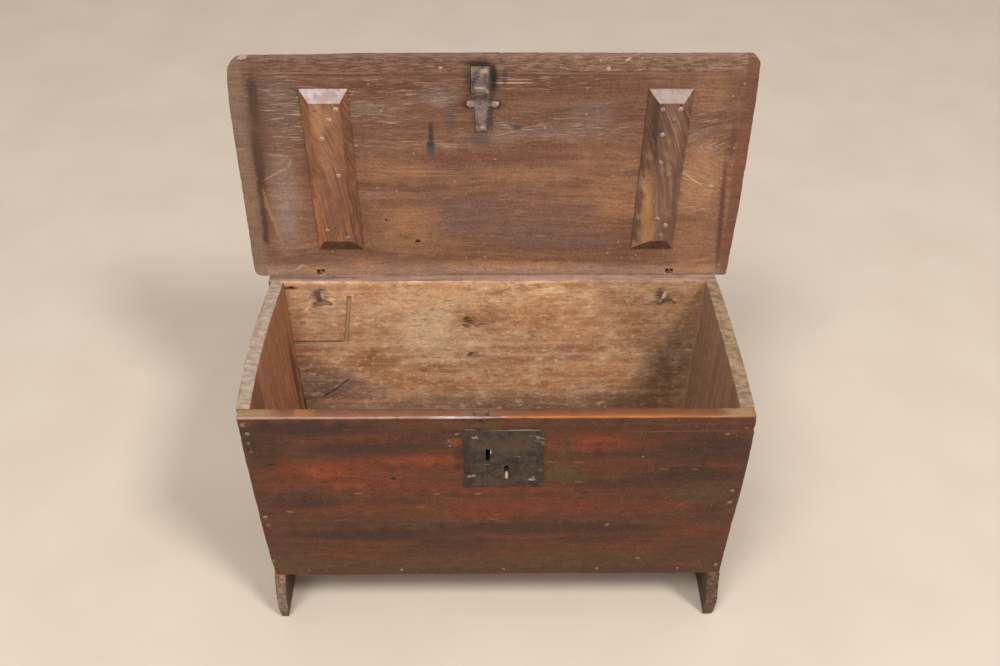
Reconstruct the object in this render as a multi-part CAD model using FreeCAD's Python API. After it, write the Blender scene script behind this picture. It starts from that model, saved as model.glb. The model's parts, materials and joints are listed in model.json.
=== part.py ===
import FreeCAD, Part
import math
import os

from FreeCAD import Vector

# Boarded coffer chest, in millimetres.
# Working frame: x to the right and zero at mid width, y back from the front face, z up from the floor.
# The lid and all it carries are drawn shut, then turned about the hinge axis to stand open.
# At the end everything moves in x and y, so that the origin is the bottom centre of the open chest's box.

# ---- driving dimensions ----
WIDTH = 762.0
DEPTH = 345.0
HEIGHT = 500.0
FOOT_HEIGHT = 122.0
BOARD = 20.0
RIGHT_END_BOARD = 22.0
BOTTOM_THICKNESS = 16.0
BOTTOM_RISE = 6.0
HOUSING_DEPTH = 6.0
ARRIS = 1.5

SOLE_LENGTH = 92.0
SOLE_ROUNDING = 5.0
ARCH_HEIGHT = 76.0
ARCH_SHOULDER = (30.0, 48.0)

# The boards have moved with age. Outlines are x and z; the front board's ends are no longer square.
FRONT_BOARD_OUTLINE = ((-376.5, 122.0), (380.3, 122.0), (380.8, 210.0), (384.0, 350.0), (384.3, 430.0),
                       (381.5, 500.0), (-382.0, 500.0), (-382.0, 300.0), (-376.5, 150.0))
BACK_BOARD_X = (-386.0, 378.0)
# The end boards are cupped at the rim, flat where the bottom holds them, and their feet lean out.
# The x of each face: at the rim in front, at CUP_Y and behind, then above the feet and at the soles.
CUP_Y = 130.0
END_BOARDS = {
    "left": {"rim_outer": (-383.8, -389.3, -378.0), "rim_inner": (-364.5, -368.3, -358.0),
             "waist": (-376.3, -357.5), "foot": (-381.3, -365.0)},
    "right": {"rim_outer": (381.0, 382.9, 375.6), "rim_inner": (361.0, 361.8, 358.5),
              "waist": (380.3, 359.5), "foot": (386.0, 366.5)}}
FOOT_BEND_Z = 50.0

# The lid's corners as x and the distance from its rear edge, and how far each is clipped along x and y.
LID_CORNERS = {"front_left": (-412.8, 384.2), "front_right": (405.0, 387.0),
               "rear_right": (397.2, 0.0), "rear_left": (-411.3, 0.0)}
LID_CLIPS = {"front_left": (20.0, 18.0), "front_right": (9.0, 11.0),
             "rear_right": (4.0, 4.0), "rear_left": (10.0, 14.0)}
LID_THICKNESS = 20.0
LID_GAP = 0.4
LID_ARRIS = 2.25
LID_OPEN_ANGLE = 96.5

AXIS_BEHIND_BACK = 3.7
AXIS_ABOVE_RIM = 3.0
REAR_OVERHANG = 10.7
HINGE_X = 298.0
WIRE = 1.7
EYE_RADIUS = 3.7
LOOP_RADIUS = 3.8
BACK_PIN_SLOPE = 57.0
LID_PIN_SLOPE = 53.0
PIN_TAIL = 15.0
BACK_TAIL_SPREAD = (0.72, 0.69)
LID_TAIL = 10.5
LID_LEG_SPREAD = 1.9
HINGE_RECESS = 9.0
RUNNING_GAP = 0.4
DRILL_GAP = 0.05

CLEAT_THICKNESS = 18.0
CLEAT_FROM_REAR = (55.0, 333.0)
CLEAT_EDGE = 3.0
CLEAT_END_CHAMFER = (22.0, 13.0)
LEFT_CLEAT = {"front": (-303.0, -227.5), "front_face": (-287.0, -239.0),
              "rear": (-296.0, -222.0), "rear_face": (-284.5, -237.8)}
RIGHT_CLEAT = {"front": (236.5, 305.5), "front_face": (251.5, 289.8),
               "rear": (228.6, 297.6), "rear_face": (257.0, 285.0)}

TILL_WIDTH = 99.0
TILL_FLOOR = 359.0
TILL_GROOVE = (8.0, 4.0)
TILL_SIDE_LEAN = 15.0
TILL_SIDE_TOP = 468.0
TILL_PIVOT = (-347.5, 486.0, 4.0, 8.0)

PLATE_X = (-52.0, 73.0)
PLATE_Z = (345.0, 478.5)
PLATE_THICKNESS = 1.8
PLATE_WAISTS = {"bottom": 6.0, "right": 2.0, "top": 4.0, "left": 2.0}
PLATE_CORNER = 5.0
KEYHOLE = (-13.7, 406.0, 434.8, 7.0)
OLD_KEYHOLE = (14.5, 366.0, 396.5, 6.0)
MORTICE_X = (-24.0, 56.0)
MORTICE_Z = (403.0, 478.0)
MORTICE_DEPTH = 16.5
THROAT_X = -36.0
THROAT_LOW = 464.0

STAPLE_X = (-33.0, -15.0)
STAPLE_Y = (6.3, 15.3)
STAPLE_STRIP = 2.0
STAPLE_TIP = 466.6
STAPLE_LEG_WIDTH = 8.0
STAPLE_CLENCH = 9.0
SLOT_Y = (4.0, 16.0)
SLOT_SIDE_GAP = 3.0

BOLT_X = (-13.8, 51.0)
BOLT_Y = (8.7, 12.9)
BOLT_Z = (469.2, 476.0)
TALON_X = (0.0, 24.0)
TALON_DROP = 18.0
TALON_NOTCH = {"x": 8.0, "radius": 6.0}
GUIDE_X = (-13.4, 31.0)
GUIDE_WIDTH = 3.0
GUIDE_STRIP = 1.4
SPRING_FOOT = {"x": (52.0, 53.2), "z": (440.0, 452.0)}
SPRING_TOUCH_X = (40.0, 41.2)
POST_RADIUS = 2.0
POST_START_Y = 1.5
WARD_RADIUS = 9.0
WARD_STRIP = 1.4
WARD_LENGTH = 6.0

KEEPER_X = (-38.0, -9.0)
KEEPER_FROM_REAR = (322.0, 366.0)
KEEPER_LUGS = {"x": (-46.0, 6.0), "from_rear": (303.0, 315.0)}
KEEPER_STRAP = {"x": (-32.0, -11.5), "from_rear": (263.0, 324.0)}
KEEPER_THICKNESS = 1.6
KEEPER_RECESS = 2.0
RECESS_MARGIN = 1.0
RECESS_SPARE = {"head": 6.0, "front": 5.0, "strap": 5.0}

NAIL_SHANK = 3.0
NAIL_HEAD = {"radius": 4.6, "height": 1.2}
SMALL_HEAD = {"radius": 3.4, "height": 0.9}
HEAD_SIDES = 8
HEAD_FLAT = 0.45
BOARD_NAIL_LENGTH = 52.0
LOCK_NAIL_LENGTH = 15.0
CLEAT_NAIL_LENGTH = 30.0
KEEPER_NAIL_LENGTH = 11.0
NAIL_FROM_END = 11.0
FRONT_NAIL_HEIGHTS = {"left": (467.0, 428.0, 276.0, 163.0), "right": (474.0, 334.0, 306.0, 145.0)}
BACK_NAIL_HEIGHTS = {"left": (470.0, 380.0, 285.0, 165.0), "right": (472.0, 384.0, 279.0, 160.0)}
BOTTOM_NAIL_X = (-316.0, -160.0, 12.0, 170.0, 306.0)
LOCK_NAIL_PLACES = ((-31.5, 458.8), (-38.4, 374.4), (55.8, 369.0), (60.9, 458.2))
# On the lid, places are x and the distance from its rear edge.
LEFT_CLEAT_NAILS = ((-279.0, 308.0), (-246.0, 308.0), (-258.5, 291.0), (-271.2, 260.0),
                    (-250.1, 196.0), (-277.0, 97.5), (-244.0, 84.0))
RIGHT_CLEAT_NAILS = ((257.0, 308.0), (285.0, 308.0), (277.5, 291.0), (260.0, 266.0),
                     (262.0, 219.0), (276.9, 199.0), (265.5, 118.0), (280.0, 106.0), (274.0, 87.0))
KEEPER_NAIL_PLACES = ((-33.5, 328.0), (-13.5, 328.0), (-42.0, 309.0), (2.0, 309.0), (-21.7, 269.0))

# ---- worked-out places ----
LEFT = -WIDTH / 2
RIGHT = WIDTH / 2
LEFT_INNER = LEFT + BOARD
RIGHT_INNER = RIGHT - RIGHT_END_BOARD
BACK_INNER = DEPTH - BOARD
BOTTOM_Z = FOOT_HEIGHT + BOTTOM_RISE
AXIS_Y = DEPTH + AXIS_BEHIND_BACK
AXIS_Z = HEIGHT + AXIS_ABOVE_RIM
LID_Z = HEIGHT + LID_GAP
LID_REAR = DEPTH + REAR_OVERHANG
LID_TOP = LID_Z + LID_THICKNESS
NAIL_X = {"left": LEFT + NAIL_FROM_END, "right": RIGHT - NAIL_FROM_END}
BOTTOM_NAIL_Z = BOTTOM_Z + BOTTOM_THICKNESS / 2
KEEPER_FACE_Z = LID_Z + KEEPER_RECESS - KEEPER_THICKNESS
EYE_REACH = EYE_RADIUS + WIRE + RUNNING_GAP


# ---- helpers ----
def block(x, y, z):
    """A box between the pairs x, y and z."""
    return Part.makeBox(x[1] - x[0], y[1] - y[0], z[1] - z[0], Vector(x[0], y[0], z[0]))


def prism(corners, sweep):
    """A flat outline of corner points, swept by a vector."""
    points = [Vector(*c) for c in corners]
    return Part.Face(Part.makePolygon(points + points[:1])).extrude(Vector(*sweep))


def cylinder(start, end, radius):
    """A round bar from start to end."""
    way = end - start
    return Part.makeCylinder(radius, way.Length, start, way)


def bent_rod(points, radius):
    """Round wire along straight runs, with a ball at each bend and at the last end."""
    rod = cylinder(points[0], points[1], radius)
    for start, end in zip(points[1:], points[2:]):
        rod = rod.fuse([Part.makeSphere(radius, start), cylinder(start, end, radius)])
    return rod.fuse(Part.makeSphere(radius, points[-1])).removeSplitter()


def same(*values):
    """Whether the numbers agree to a thousandth of a millimetre."""
    return max(values) - min(values) < 0.001


def softened(shape, radius, wanted):
    """The shape with the edges that wanted(start, end) picks rounded."""
    edges = [e for e in shape.Edges if wanted(e.Vertexes[0].Point, e.Vertexes[-1].Point)]
    return shape.makeFillet(radius, edges)


def at_from_rear(distance):
    """The y of a line on the shut lid, measured from its rear edge."""
    return LID_REAR - distance


def span_from_rear(distances):
    """The y pair of a near and a far distance from the lid's rear edge."""
    near, far = distances
    return at_from_rear(far), at_from_rear(near)


def nail(place, way, length, head):
    """A forged nail: faceted head on the surface at place, square shank along way."""
    along = Vector(*way).normalize()
    turn = FreeCAD.Rotation(Vector(0, 0, -1), along)
    half = NAIL_SHANK / 2
    shank = Part.makeBox(NAIL_SHANK, NAIL_SHANK, length, Vector(-half, -half, -length))
    rims = []
    for radius, z in ((head["radius"], 0.0), (head["radius"] * HEAD_FLAT, head["height"])):
        turns = [math.tau * k / HEAD_SIDES for k in range(HEAD_SIDES)]
        ring = [Vector(radius * math.cos(turn), radius * math.sin(turn), z) for turn in turns]
        rims.append(Part.makePolygon(ring + ring[:1]))
    whole = shank.fuse(Part.makeLoft(rims, True, True))
    whole.Placement = FreeCAD.Placement(Vector(*place), turn)
    return whole


def group(solids):
    return Part.makeCompound(solids)


# ---- nails of the boards ----
def wall_nails(heights, y, way):
    """Nails at both ends of a wall, into the edges of the end boards."""
    return [nail((NAIL_X[end], y, z), way, BOARD_NAIL_LENGTH, NAIL_HEAD)
            for end in heights for z in heights[end]]


def front_board_nails():
    return wall_nails(FRONT_NAIL_HEIGHTS, 0, (0, 1, 0))


def back_board_nails():
    return wall_nails(BACK_NAIL_HEIGHTS, DEPTH, (0, -1, 0))


def bottom_board_nails():
    """Small nails through the front and the back board into the edges of the bottom."""
    nails = []
    for y, way in ((0, (0, 1, 0)), (DEPTH, (0, -1, 0))):
        nails += [nail((x, y, BOTTOM_NAIL_Z), way, BOARD_NAIL_LENGTH, SMALL_HEAD) for x in BOTTOM_NAIL_X]
    return nails


# ---- chest boards ----
def till_grooves(inner, depth_way):
    """Trenches left by a missing till in a board whose inner face is at y = inner."""
    wide, deep = TILL_GROOVE
    y = sorted((inner, inner + depth_way * deep))
    floor = block((LEFT_INNER, LEFT_INNER + TILL_WIDTH), y, (TILL_FLOOR, TILL_FLOOR + wide))
    side_x = LEFT_INNER + TILL_WIDTH
    top_x = side_x + TILL_SIDE_LEAN
    corners = [(side_x - wide, y[0], TILL_FLOOR), (side_x, y[0], TILL_FLOOR),
               (top_x, y[0], TILL_SIDE_TOP), (top_x - wide, y[0], TILL_SIDE_TOP)]
    side = prism(corners, (0, deep, 0))
    x, z, radius, hole = TILL_PIVOT
    pivot = cylinder(Vector(x, inner, z), Vector(x, inner + depth_way * hole, z), radius)
    return floor.fuse([side, pivot])


def lock_mortice():
    """The hollow cut in from the front for the lock, with the staple's slot above and the old key's bore."""
    hollow = block(MORTICE_X, (-1, MORTICE_DEPTH), MORTICE_Z)
    throat = block((THROAT_X, MORTICE_X[0] + 1), (-1, MORTICE_DEPTH), (THROAT_LOW, MORTICE_Z[1]))
    slot_x = (STAPLE_X[0] - SLOT_SIDE_GAP, STAPLE_X[1] + SLOT_SIDE_GAP)
    slot = block(slot_x, SLOT_Y, (MORTICE_Z[1] - 1, HEIGHT + 1))
    x, low, high, wide = OLD_KEYHOLE
    bore = block((x - wide / 2, x + wide / 2), (-1, MORTICE_DEPTH), (high - wide, MORTICE_Z[0] + 1))
    return hollow.fuse([throat, slot, bore])


def front_board():
    board = prism([(x, 0, z) for x, z in FRONT_BOARD_OUTLINE], (0, BOARD, 0))
    board = softened(board, ARRIS, lambda a, b: same(a.y, b.y, 0))
    nails = front_board_nails() + bottom_board_nails() + lock_plate_nails()
    return board.cut([till_grooves(BOARD, -1), lock_mortice()] + nails)


def hinge_leg_bores(hinge_x):
    """The drillings for the fixed pin's legs, and the notch that the moving eye turns in."""
    loop = back_loop_centre(hinge_x)
    through = slope_way(BACK_PIN_SLOPE) * BOARD * 3
    bores = []
    for side in (-LOOP_RADIUS, LOOP_RADIUS):
        start = loop + Vector(side, 0, 0)
        bores.append(cylinder(start, start + through, WIRE + DRILL_GAP))
    half = Vector(WIRE + RUNNING_GAP, 0, 0)
    bores.append(cylinder(hinge_axis(hinge_x) - half, hinge_axis(hinge_x) + half, EYE_REACH))
    return bores


def back_board():
    board = block(BACK_BOARD_X, (BACK_INNER, DEPTH), (FOOT_HEIGHT, HEIGHT))
    board = softened(board, ARRIS, lambda a, b: same(a.y, b.y, DEPTH))
    tools = [till_grooves(BACK_INNER, 1)] + hinge_leg_bores(-HINGE_X) + hinge_leg_bores(HINGE_X)
    return board.cut(tools + back_board_nails() + bottom_board_nails())


def end_board_outline(x):
    """The face of an end board seen from the side: two feet with a cusped arch between them."""
    shoulder_y, shoulder_z = ARCH_SHOULDER
    outline = [(SOLE_LENGTH, 0), (0, 0), (0, FOOT_HEIGHT), (BOARD, FOOT_HEIGHT), (BOARD, HEIGHT),
               (BACK_INNER, HEIGHT), (BACK_INNER, FOOT_HEIGHT), (DEPTH, FOOT_HEIGHT), (DEPTH, 0),
               (DEPTH - SOLE_LENGTH, 0)]
    edges = [Part.LineSegment(Vector(x, *a), Vector(x, *b)).toShape() for a, b in zip(outline, outline[1:])]
    cusp = Vector(x, DEPTH / 2, ARCH_HEIGHT)
    front_shoulder = Vector(x, SOLE_LENGTH + shoulder_y, shoulder_z)
    back_shoulder = Vector(x, DEPTH - SOLE_LENGTH - shoulder_y, shoulder_z)
    edges.append(Part.Arc(Vector(x, *outline[-1]), back_shoulder, cusp).toShape())
    edges.append(Part.Arc(cusp, front_shoulder, Vector(x, *outline[0])).toShape())
    return Part.Face(Part.Wire(edges))


def board_section(outer, inner, z):
    """A level cut through an end board; each face is its x in front, at CUP_Y and behind."""
    places = [[Vector(x, y, z) for x, y in zip(face, (0, CUP_Y, DEPTH))] for face in (outer, inner)]
    (a, b, c), (d, e, f) = places
    faces = []
    for first, middle, last in ((a, b, c), (f, e, d)):
        if same(first.x, middle.x, last.x):
            faces.append(Part.LineSegment(first, last).toShape())
        else:
            faces.append(Part.Arc(first, middle, last).toShape())
    behind = Part.LineSegment(c, f).toShape()
    before = Part.LineSegment(d, a).toShape()
    return Part.Wire([faces[0], behind, faces[1], before])


def end_board(side):
    """A cupped board on leaning feet, cut to the outline of its face."""
    sizes = END_BOARDS[side]
    waist_outer, waist_inner = sizes["waist"]
    foot_outer, foot_inner = sizes["foot"]
    waist = board_section([waist_outer] * 3, [waist_inner] * 3, FOOT_HEIGHT)
    rim = board_section(sizes["rim_outer"], sizes["rim_inner"], HEIGHT)
    board = Part.makeLoft([waist, rim], True, True)
    feet = prism([(waist_outer, 0, FOOT_HEIGHT), (foot_outer, 0, FOOT_BEND_Z), (foot_outer, 0, 0),
                  (foot_inner, 0, 0), (foot_inner, 0, FOOT_BEND_Z), (waist_inner, 0, FOOT_HEIGHT)],
                 (0, DEPTH, 0))
    feet = softened(feet, SOLE_ROUNDING, lambda a, b: same(a.z, b.z, 0) and same(a.x, b.x))
    reach = 20.0
    low = min(foot_outer, foot_inner, *sizes["rim_outer"]) - reach
    face = end_board_outline(low).extrude(Vector(abs(foot_outer - foot_inner) + 3 * reach, 0, 0))
    return board.fuse(feet).common(face)


def left_end_board():
    board = end_board("left")
    return board.cut([bottom_board_blank()] + front_board_nails() + back_board_nails())


def right_end_board():
    board = end_board("right")
    return board.cut([bottom_board_blank()] + front_board_nails() + back_board_nails())


def bottom_board_blank():
    return block((LEFT_INNER - HOUSING_DEPTH, RIGHT_INNER + HOUSING_DEPTH), (BOARD, BACK_INNER),
                 (BOTTOM_Z, BOTTOM_Z + BOTTOM_THICKNESS))


def bottom_board():
    return bottom_board_blank().cut(bottom_board_nails())


# ---- lock ----
def keyhole_tool(hole, y):
    """A slot with a round top, cut through between the two y values."""
    x, low, high, wide = hole
    slot = block((x - wide / 2, x + wide / 2), y, (low, high - wide / 2))
    top = cylinder(Vector(x, y[0], high - wide / 2), Vector(x, y[1], high - wide / 2), wide / 2)
    return slot.fuse(top)


def plate_blank():
    """The lock plate before it is pierced: rounded corners and gently hollowed edges."""
    (x0, x1), (z0, z1) = PLATE_X, PLATE_Z
    xm, zm = (x0 + x1) / 2, (z0 + z1) / 2
    corners = [Vector(x0, 0, z0), Vector(x1, 0, z0), Vector(x1, 0, z1), Vector(x0, 0, z1)]
    waists = [Vector(xm, 0, z0 + PLATE_WAISTS["bottom"]), Vector(x1 - PLATE_WAISTS["right"], 0, zm),
              Vector(xm, 0, z1 - PLATE_WAISTS["top"]), Vector(x0 + PLATE_WAISTS["left"], 0, zm)]
    edges = []
    for k, waist in enumerate(waists):
        edges.append(Part.Arc(corners[k], waist, corners[(k + 1) % 4]).toShape())
    blank = Part.Face(Part.Wire(edges)).extrude(Vector(0, -PLATE_THICKNESS, 0))
    return softened(blank, PLATE_CORNER, lambda a, b: same(a.x, b.x) and same(a.z, b.z))


def lock_plate_nails():
    return [nail((x, -PLATE_THICKNESS, z), (0, 1, 0), LOCK_NAIL_LENGTH, SMALL_HEAD)
            for x, z in LOCK_NAIL_PLACES]


def lock_plate():
    through = (-PLATE_THICKNESS - 1, 1)
    holes = [keyhole_tool(KEYHOLE, through), keyhole_tool(OLD_KEYHOLE, through)]
    return plate_blank().cut(holes + lock_plate_nails())


def lock_bolt():
    """The flat bolt, with a notched talon that the key's bit pushes along."""
    bar = block(BOLT_X, BOLT_Y, BOLT_Z)
    low = BOLT_Z[0] - TALON_DROP
    talon = block(TALON_X, BOLT_Y, (low, BOLT_Z[0]))
    x = TALON_NOTCH["x"]
    notch = cylinder(Vector(x, BOLT_Y[0] - 1, low), Vector(x, BOLT_Y[1] + 1, low), TALON_NOTCH["radius"])
    return bar.fuse(talon.cut(notch)).removeSplitter()


def bolt_guide(x):
    """A bent strip riveted to the back of the plate that the bolt slides through."""
    far_y = BOLT_Y[1] + RUNNING_GAP
    low, high = BOLT_Z[0] - RUNNING_GAP, BOLT_Z[1] + RUNNING_GAP
    width = (x, x + GUIDE_WIDTH)
    outer = block(width, (0, far_y + GUIDE_STRIP), (low - GUIDE_STRIP, high + GUIDE_STRIP))
    return outer.cut(block((x - 1, x + GUIDE_WIDTH + 1), (-1, far_y), (low, high)))


def bolt_spring():
    """A leaf that bears up against the tail of the bolt."""
    foot_x, foot_z = SPRING_FOOT["x"], SPRING_FOOT["z"]
    bend = foot_z[1] - 2
    top = BOLT_Z[0] - RUNNING_GAP
    foot = block(foot_x, (0, BOLT_Y[1]), foot_z)
    corners = [(foot_x[0], BOLT_Y[0], bend), (foot_x[1], BOLT_Y[0], bend),
               (SPRING_TOUCH_X[1], BOLT_Y[0], top), (SPRING_TOUCH_X[0], BOLT_Y[0], top)]
    leaf = prism(corners, (0, BOLT_Y[1] - BOLT_Y[0], 0))
    return foot.fuse(leaf).removeSplitter()


def key_centre(y):
    """The middle of the keyhole's round top, at this depth."""
    x, _, high, wide = KEYHOLE
    return Vector(x, y, high - wide / 2)


def key_post():
    """The pin that the pierced key turns on."""
    return cylinder(key_centre(POST_START_Y), key_centre(MORTICE_DEPTH), POST_RADIUS)


def key_ward():
    """A half collar round the key that the bit's slit has to match."""
    collar = cylinder(key_centre(0), key_centre(WARD_LENGTH), WARD_RADIUS)
    collar = collar.cut(cylinder(key_centre(-1), key_centre(WARD_LENGTH + 1), WARD_RADIUS - WARD_STRIP))
    x, z = key_centre(0).x, key_centre(0).z
    lower_half = block((x - BOARD, x + BOARD), (-1, WARD_LENGTH + 1), (z - BOARD, z))
    return collar.cut(lower_half)


# ---- lid ----
def in_lid(shape):
    """Turn a shape of the shut lid to where it stands open."""
    opened = shape.copy()
    opened.rotate(Vector(0, AXIS_Y, AXIS_Z), Vector(1, 0, 0), -LID_OPEN_ANGLE)
    return opened


def lid_outline():
    """The lid's outline with each corner clipped."""
    outline = []
    for corner in ("front_left", "front_right", "rear_right", "rear_left"):
        x, from_rear = LID_CORNERS[corner]
        clip_x, clip_y = LID_CLIPS[corner]
        y = at_from_rear(from_rear)
        along_x = (x - math.copysign(clip_x, x), y, LID_Z)
        along_y = (x, y + (clip_y if corner.startswith("front") else -clip_y), LID_Z)
        outline += [along_y, along_x] if corner in ("front_left", "rear_right") else [along_x, along_y]
    return outline


def keeper_recess():
    """The shallow sinking that the staple's plate lies in, roomier to the front and to the right."""
    z = (LID_Z - 1, LID_Z + KEEPER_RECESS)
    shapes = []
    for (x0, x1), from_rear, right, front in (
            (KEEPER_X, KEEPER_FROM_REAR, RECESS_SPARE["head"], RECESS_SPARE["front"]),
            (KEEPER_LUGS["x"], KEEPER_LUGS["from_rear"], 0, 0),
            (KEEPER_STRAP["x"], KEEPER_STRAP["from_rear"], RECESS_SPARE["strap"], 0)):
        y0, y1 = span_from_rear(from_rear)
        x = (x0 - RECESS_MARGIN, x1 + RECESS_MARGIN + right)
        shapes.append(block(x, (y0 - RECESS_MARGIN - front, y1 + RECESS_MARGIN), z))
    return shapes[0].fuse(shapes[1:])


def staple_legs():
    """The two tangs that carry the staple through plate and lid."""
    middle = (STAPLE_X[0] + STAPLE_X[1]) / 2
    x = (middle - STAPLE_LEG_WIDTH / 2, middle + STAPLE_LEG_WIDTH / 2)
    z = (LID_Z, LID_TOP + STAPLE_STRIP)
    front = block(x, (STAPLE_Y[0], STAPLE_Y[0] + STAPLE_STRIP), z)
    back = block(x, (STAPLE_Y[1] - STAPLE_STRIP, STAPLE_Y[1]), z)
    return front, back


def lid_hinge_recess(hinge_x):
    """The pocket cut up into the lid's rear arris for the hinge."""
    reach = EYE_REACH + RUNNING_GAP
    return block((hinge_x - HINGE_RECESS, hinge_x + HINGE_RECESS), (AXIS_Y - reach, LID_REAR + 1),
                 (LID_Z - 1, AXIS_Z + reach))


def lid_board():
    board = prism(lid_outline(), (0, 0, LID_THICKNESS))
    board = softened(board, LID_ARRIS, lambda a, b: same(a.z, b.z, LID_TOP))
    tools = [keeper_recess(), *staple_legs()]
    for hinge_x in (-HINGE_X, HINGE_X):
        tools += [lid_hinge_recess(hinge_x)] + lid_pin_bores(hinge_x)
    nails = cleat_nails(LEFT_CLEAT_NAILS) + cleat_nails(RIGHT_CLEAT_NAILS) + keeper_plate_nails()
    return board.cut(tools + nails)


def lid_cleat(sizes):
    """A batten chamfered all round, face down under the shut lid."""
    front_y, rear_y = span_from_rear(CLEAT_FROM_REAR)
    rear_chamfer, front_chamfer = CLEAT_END_CHAMFER

    def ring(front_x, rear_x, front, rear, z):
        points = [Vector(front_x[0], front, z), Vector(front_x[1], front, z),
                  Vector(rear_x[1], rear, z), Vector(rear_x[0], rear, z)]
        return Part.makePolygon(points + points[:1])

    edge_z = LID_Z - CLEAT_EDGE
    rim = ring(sizes["front"], sizes["rear"], front_y, rear_y, edge_z)
    face = ring(sizes["front_face"], sizes["rear_face"], front_y + front_chamfer, rear_y - rear_chamfer,
                LID_Z - CLEAT_THICKNESS)
    edge = Part.Face(rim).extrude(Vector(0, 0, CLEAT_EDGE))
    return Part.makeLoft([rim, face], True, True).fuse(edge).removeSplitter()


def cleat_nails(places):
    return [nail((x, at_from_rear(s), LID_Z - CLEAT_THICKNESS), (0, 0, 1), CLEAT_NAIL_LENGTH, SMALL_HEAD)
            for x, s in places]


def left_lid_cleat():
    return lid_cleat(LEFT_CLEAT).cut(cleat_nails(LEFT_CLEAT_NAILS))


def right_lid_cleat():
    return lid_cleat(RIGHT_CLEAT).cut(cleat_nails(RIGHT_CLEAT_NAILS))


def keeper_plate_nails():
    return [nail((x, at_from_rear(s), KEEPER_FACE_Z), (0, 0, 1), KEEPER_NAIL_LENGTH, SMALL_HEAD)
            for x, s in KEEPER_NAIL_PLACES]


def keeper_plate():
    """The let-in iron that spreads the staple's pull: square head, two lugs and a strap."""
    z = (KEEPER_FACE_Z, KEEPER_FACE_Z + KEEPER_THICKNESS)
    head = block(KEEPER_X, span_from_rear(KEEPER_FROM_REAR), z)
    lugs = block(KEEPER_LUGS["x"], span_from_rear(KEEPER_LUGS["from_rear"]), z)
    strap = block(KEEPER_STRAP["x"], span_from_rear(KEEPER_STRAP["from_rear"]), z)
    plate = head.fuse([lugs, strap]).removeSplitter()
    return plate.cut([staple_bow(), *staple_legs()] + keeper_plate_nails())


def staple_bow():
    """The broad strip bent to a loop that hangs below the lid."""
    (x0, x1), (y0, y1) = STAPLE_X, STAPLE_Y
    outer = block((x0, x1), (y0, y1), (STAPLE_TIP, KEEPER_FACE_Z))
    outer = softened(outer, STAPLE_STRIP * 1.2, lambda a, b: same(a.z, b.z, STAPLE_TIP) and same(a.y, b.y))
    inner_y = (y0 + STAPLE_STRIP, y1 - STAPLE_STRIP)
    return outer.cut(block((x0 - 1, x1 + 1), inner_y, (STAPLE_TIP + STAPLE_STRIP, KEEPER_FACE_Z + 1)))


def lid_staple():
    """The bow, its two tangs, and their ends clenched apart on the lid's top."""
    front, back = staple_legs()
    x = (front.BoundBox.XMin, front.BoundBox.XMax)
    y0, y1 = STAPLE_Y
    z = (LID_TOP, LID_TOP + STAPLE_STRIP)
    clench_front = block(x, (y0 - STAPLE_CLENCH, y0 + STAPLE_STRIP), z)
    clench_back = block(x, (y1 - STAPLE_STRIP, y1 + STAPLE_CLENCH), z)
    return staple_bow().fuse([front, back, clench_front, clench_back]).removeSplitter()


# ---- snipe hinges ----
def slope_way(degrees):
    """Unit direction forwards and down at this slope."""
    return Vector(0, -math.cos(math.radians(degrees)), -math.sin(math.radians(degrees)))


def hinge_axis(hinge_x):
    return Vector(hinge_x, AXIS_Y, AXIS_Z)


def back_loop_centre(hinge_x):
    return hinge_axis(hinge_x) + slope_way(BACK_PIN_SLOPE) * LOOP_RADIUS


def back_hinge_pin(hinge_x):
    """The fixed pin: a bow across the hinge axis, legs through the back board, tails clenched inside."""
    centre = back_loop_centre(hinge_x)
    way = slope_way(BACK_PIN_SLOPE)
    normal = Vector(1, 0, 0).cross(way)
    side = Vector(LOOP_RADIUS, 0, 0)
    section = Part.Face(Part.Wire(Part.makeCircle(WIRE, centre + side, way)))
    bow = section.revolve(centre, normal, -180)
    run = (centre.y - (BACK_INNER - WIRE)) / -way.y
    spread, drop = BACK_TAIL_SPREAD
    parts = []
    for sign in (-1, 1):
        start = centre + side * sign
        knee = start + way * run
        tip = knee + Vector(sign * spread, 0, -drop) * PIN_TAIL
        parts.append(bent_rod([start, knee, tip], WIRE))
    return bow.fuse(parts).removeSplitter()


def lid_pin_runs(hinge_x):
    """Start and end of the lid pin's two straight legs, side by side, up and forwards through the lid."""
    rise = math.radians(LID_PIN_SLOPE)
    along = Vector(0, -math.cos(rise), math.sin(rise))
    across = Vector(0, math.sin(rise), math.cos(rise)) * LID_LEG_SPREAD
    runs = []
    for sign in (-1, 1):
        start = hinge_axis(hinge_x) + along * EYE_RADIUS + across * sign
        runs.append((start, start + along * ((LID_TOP + WIRE - start.z) / along.z)))
    return runs


def lid_pin_bores(hinge_x):
    return [cylinder(start, knee, WIRE + DRILL_GAP) for start, knee in lid_pin_runs(hinge_x)]


def lid_hinge_pin(hinge_x):
    """The moving pin: an eye about the hinge axis, legs through the lid, tails clenched on top."""
    eye = Part.makeTorus(EYE_RADIUS, WIRE, hinge_axis(hinge_x), Vector(1, 0, 0))
    tails = (Vector(0, -LID_TAIL, 0), Vector(0, LID_TAIL, 0))
    legs = [bent_rod([start, knee, knee + tail], WIRE)
            for (start, knee), tail in zip(lid_pin_runs(hinge_x), tails)]
    return eye.fuse(legs).removeSplitter()


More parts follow.
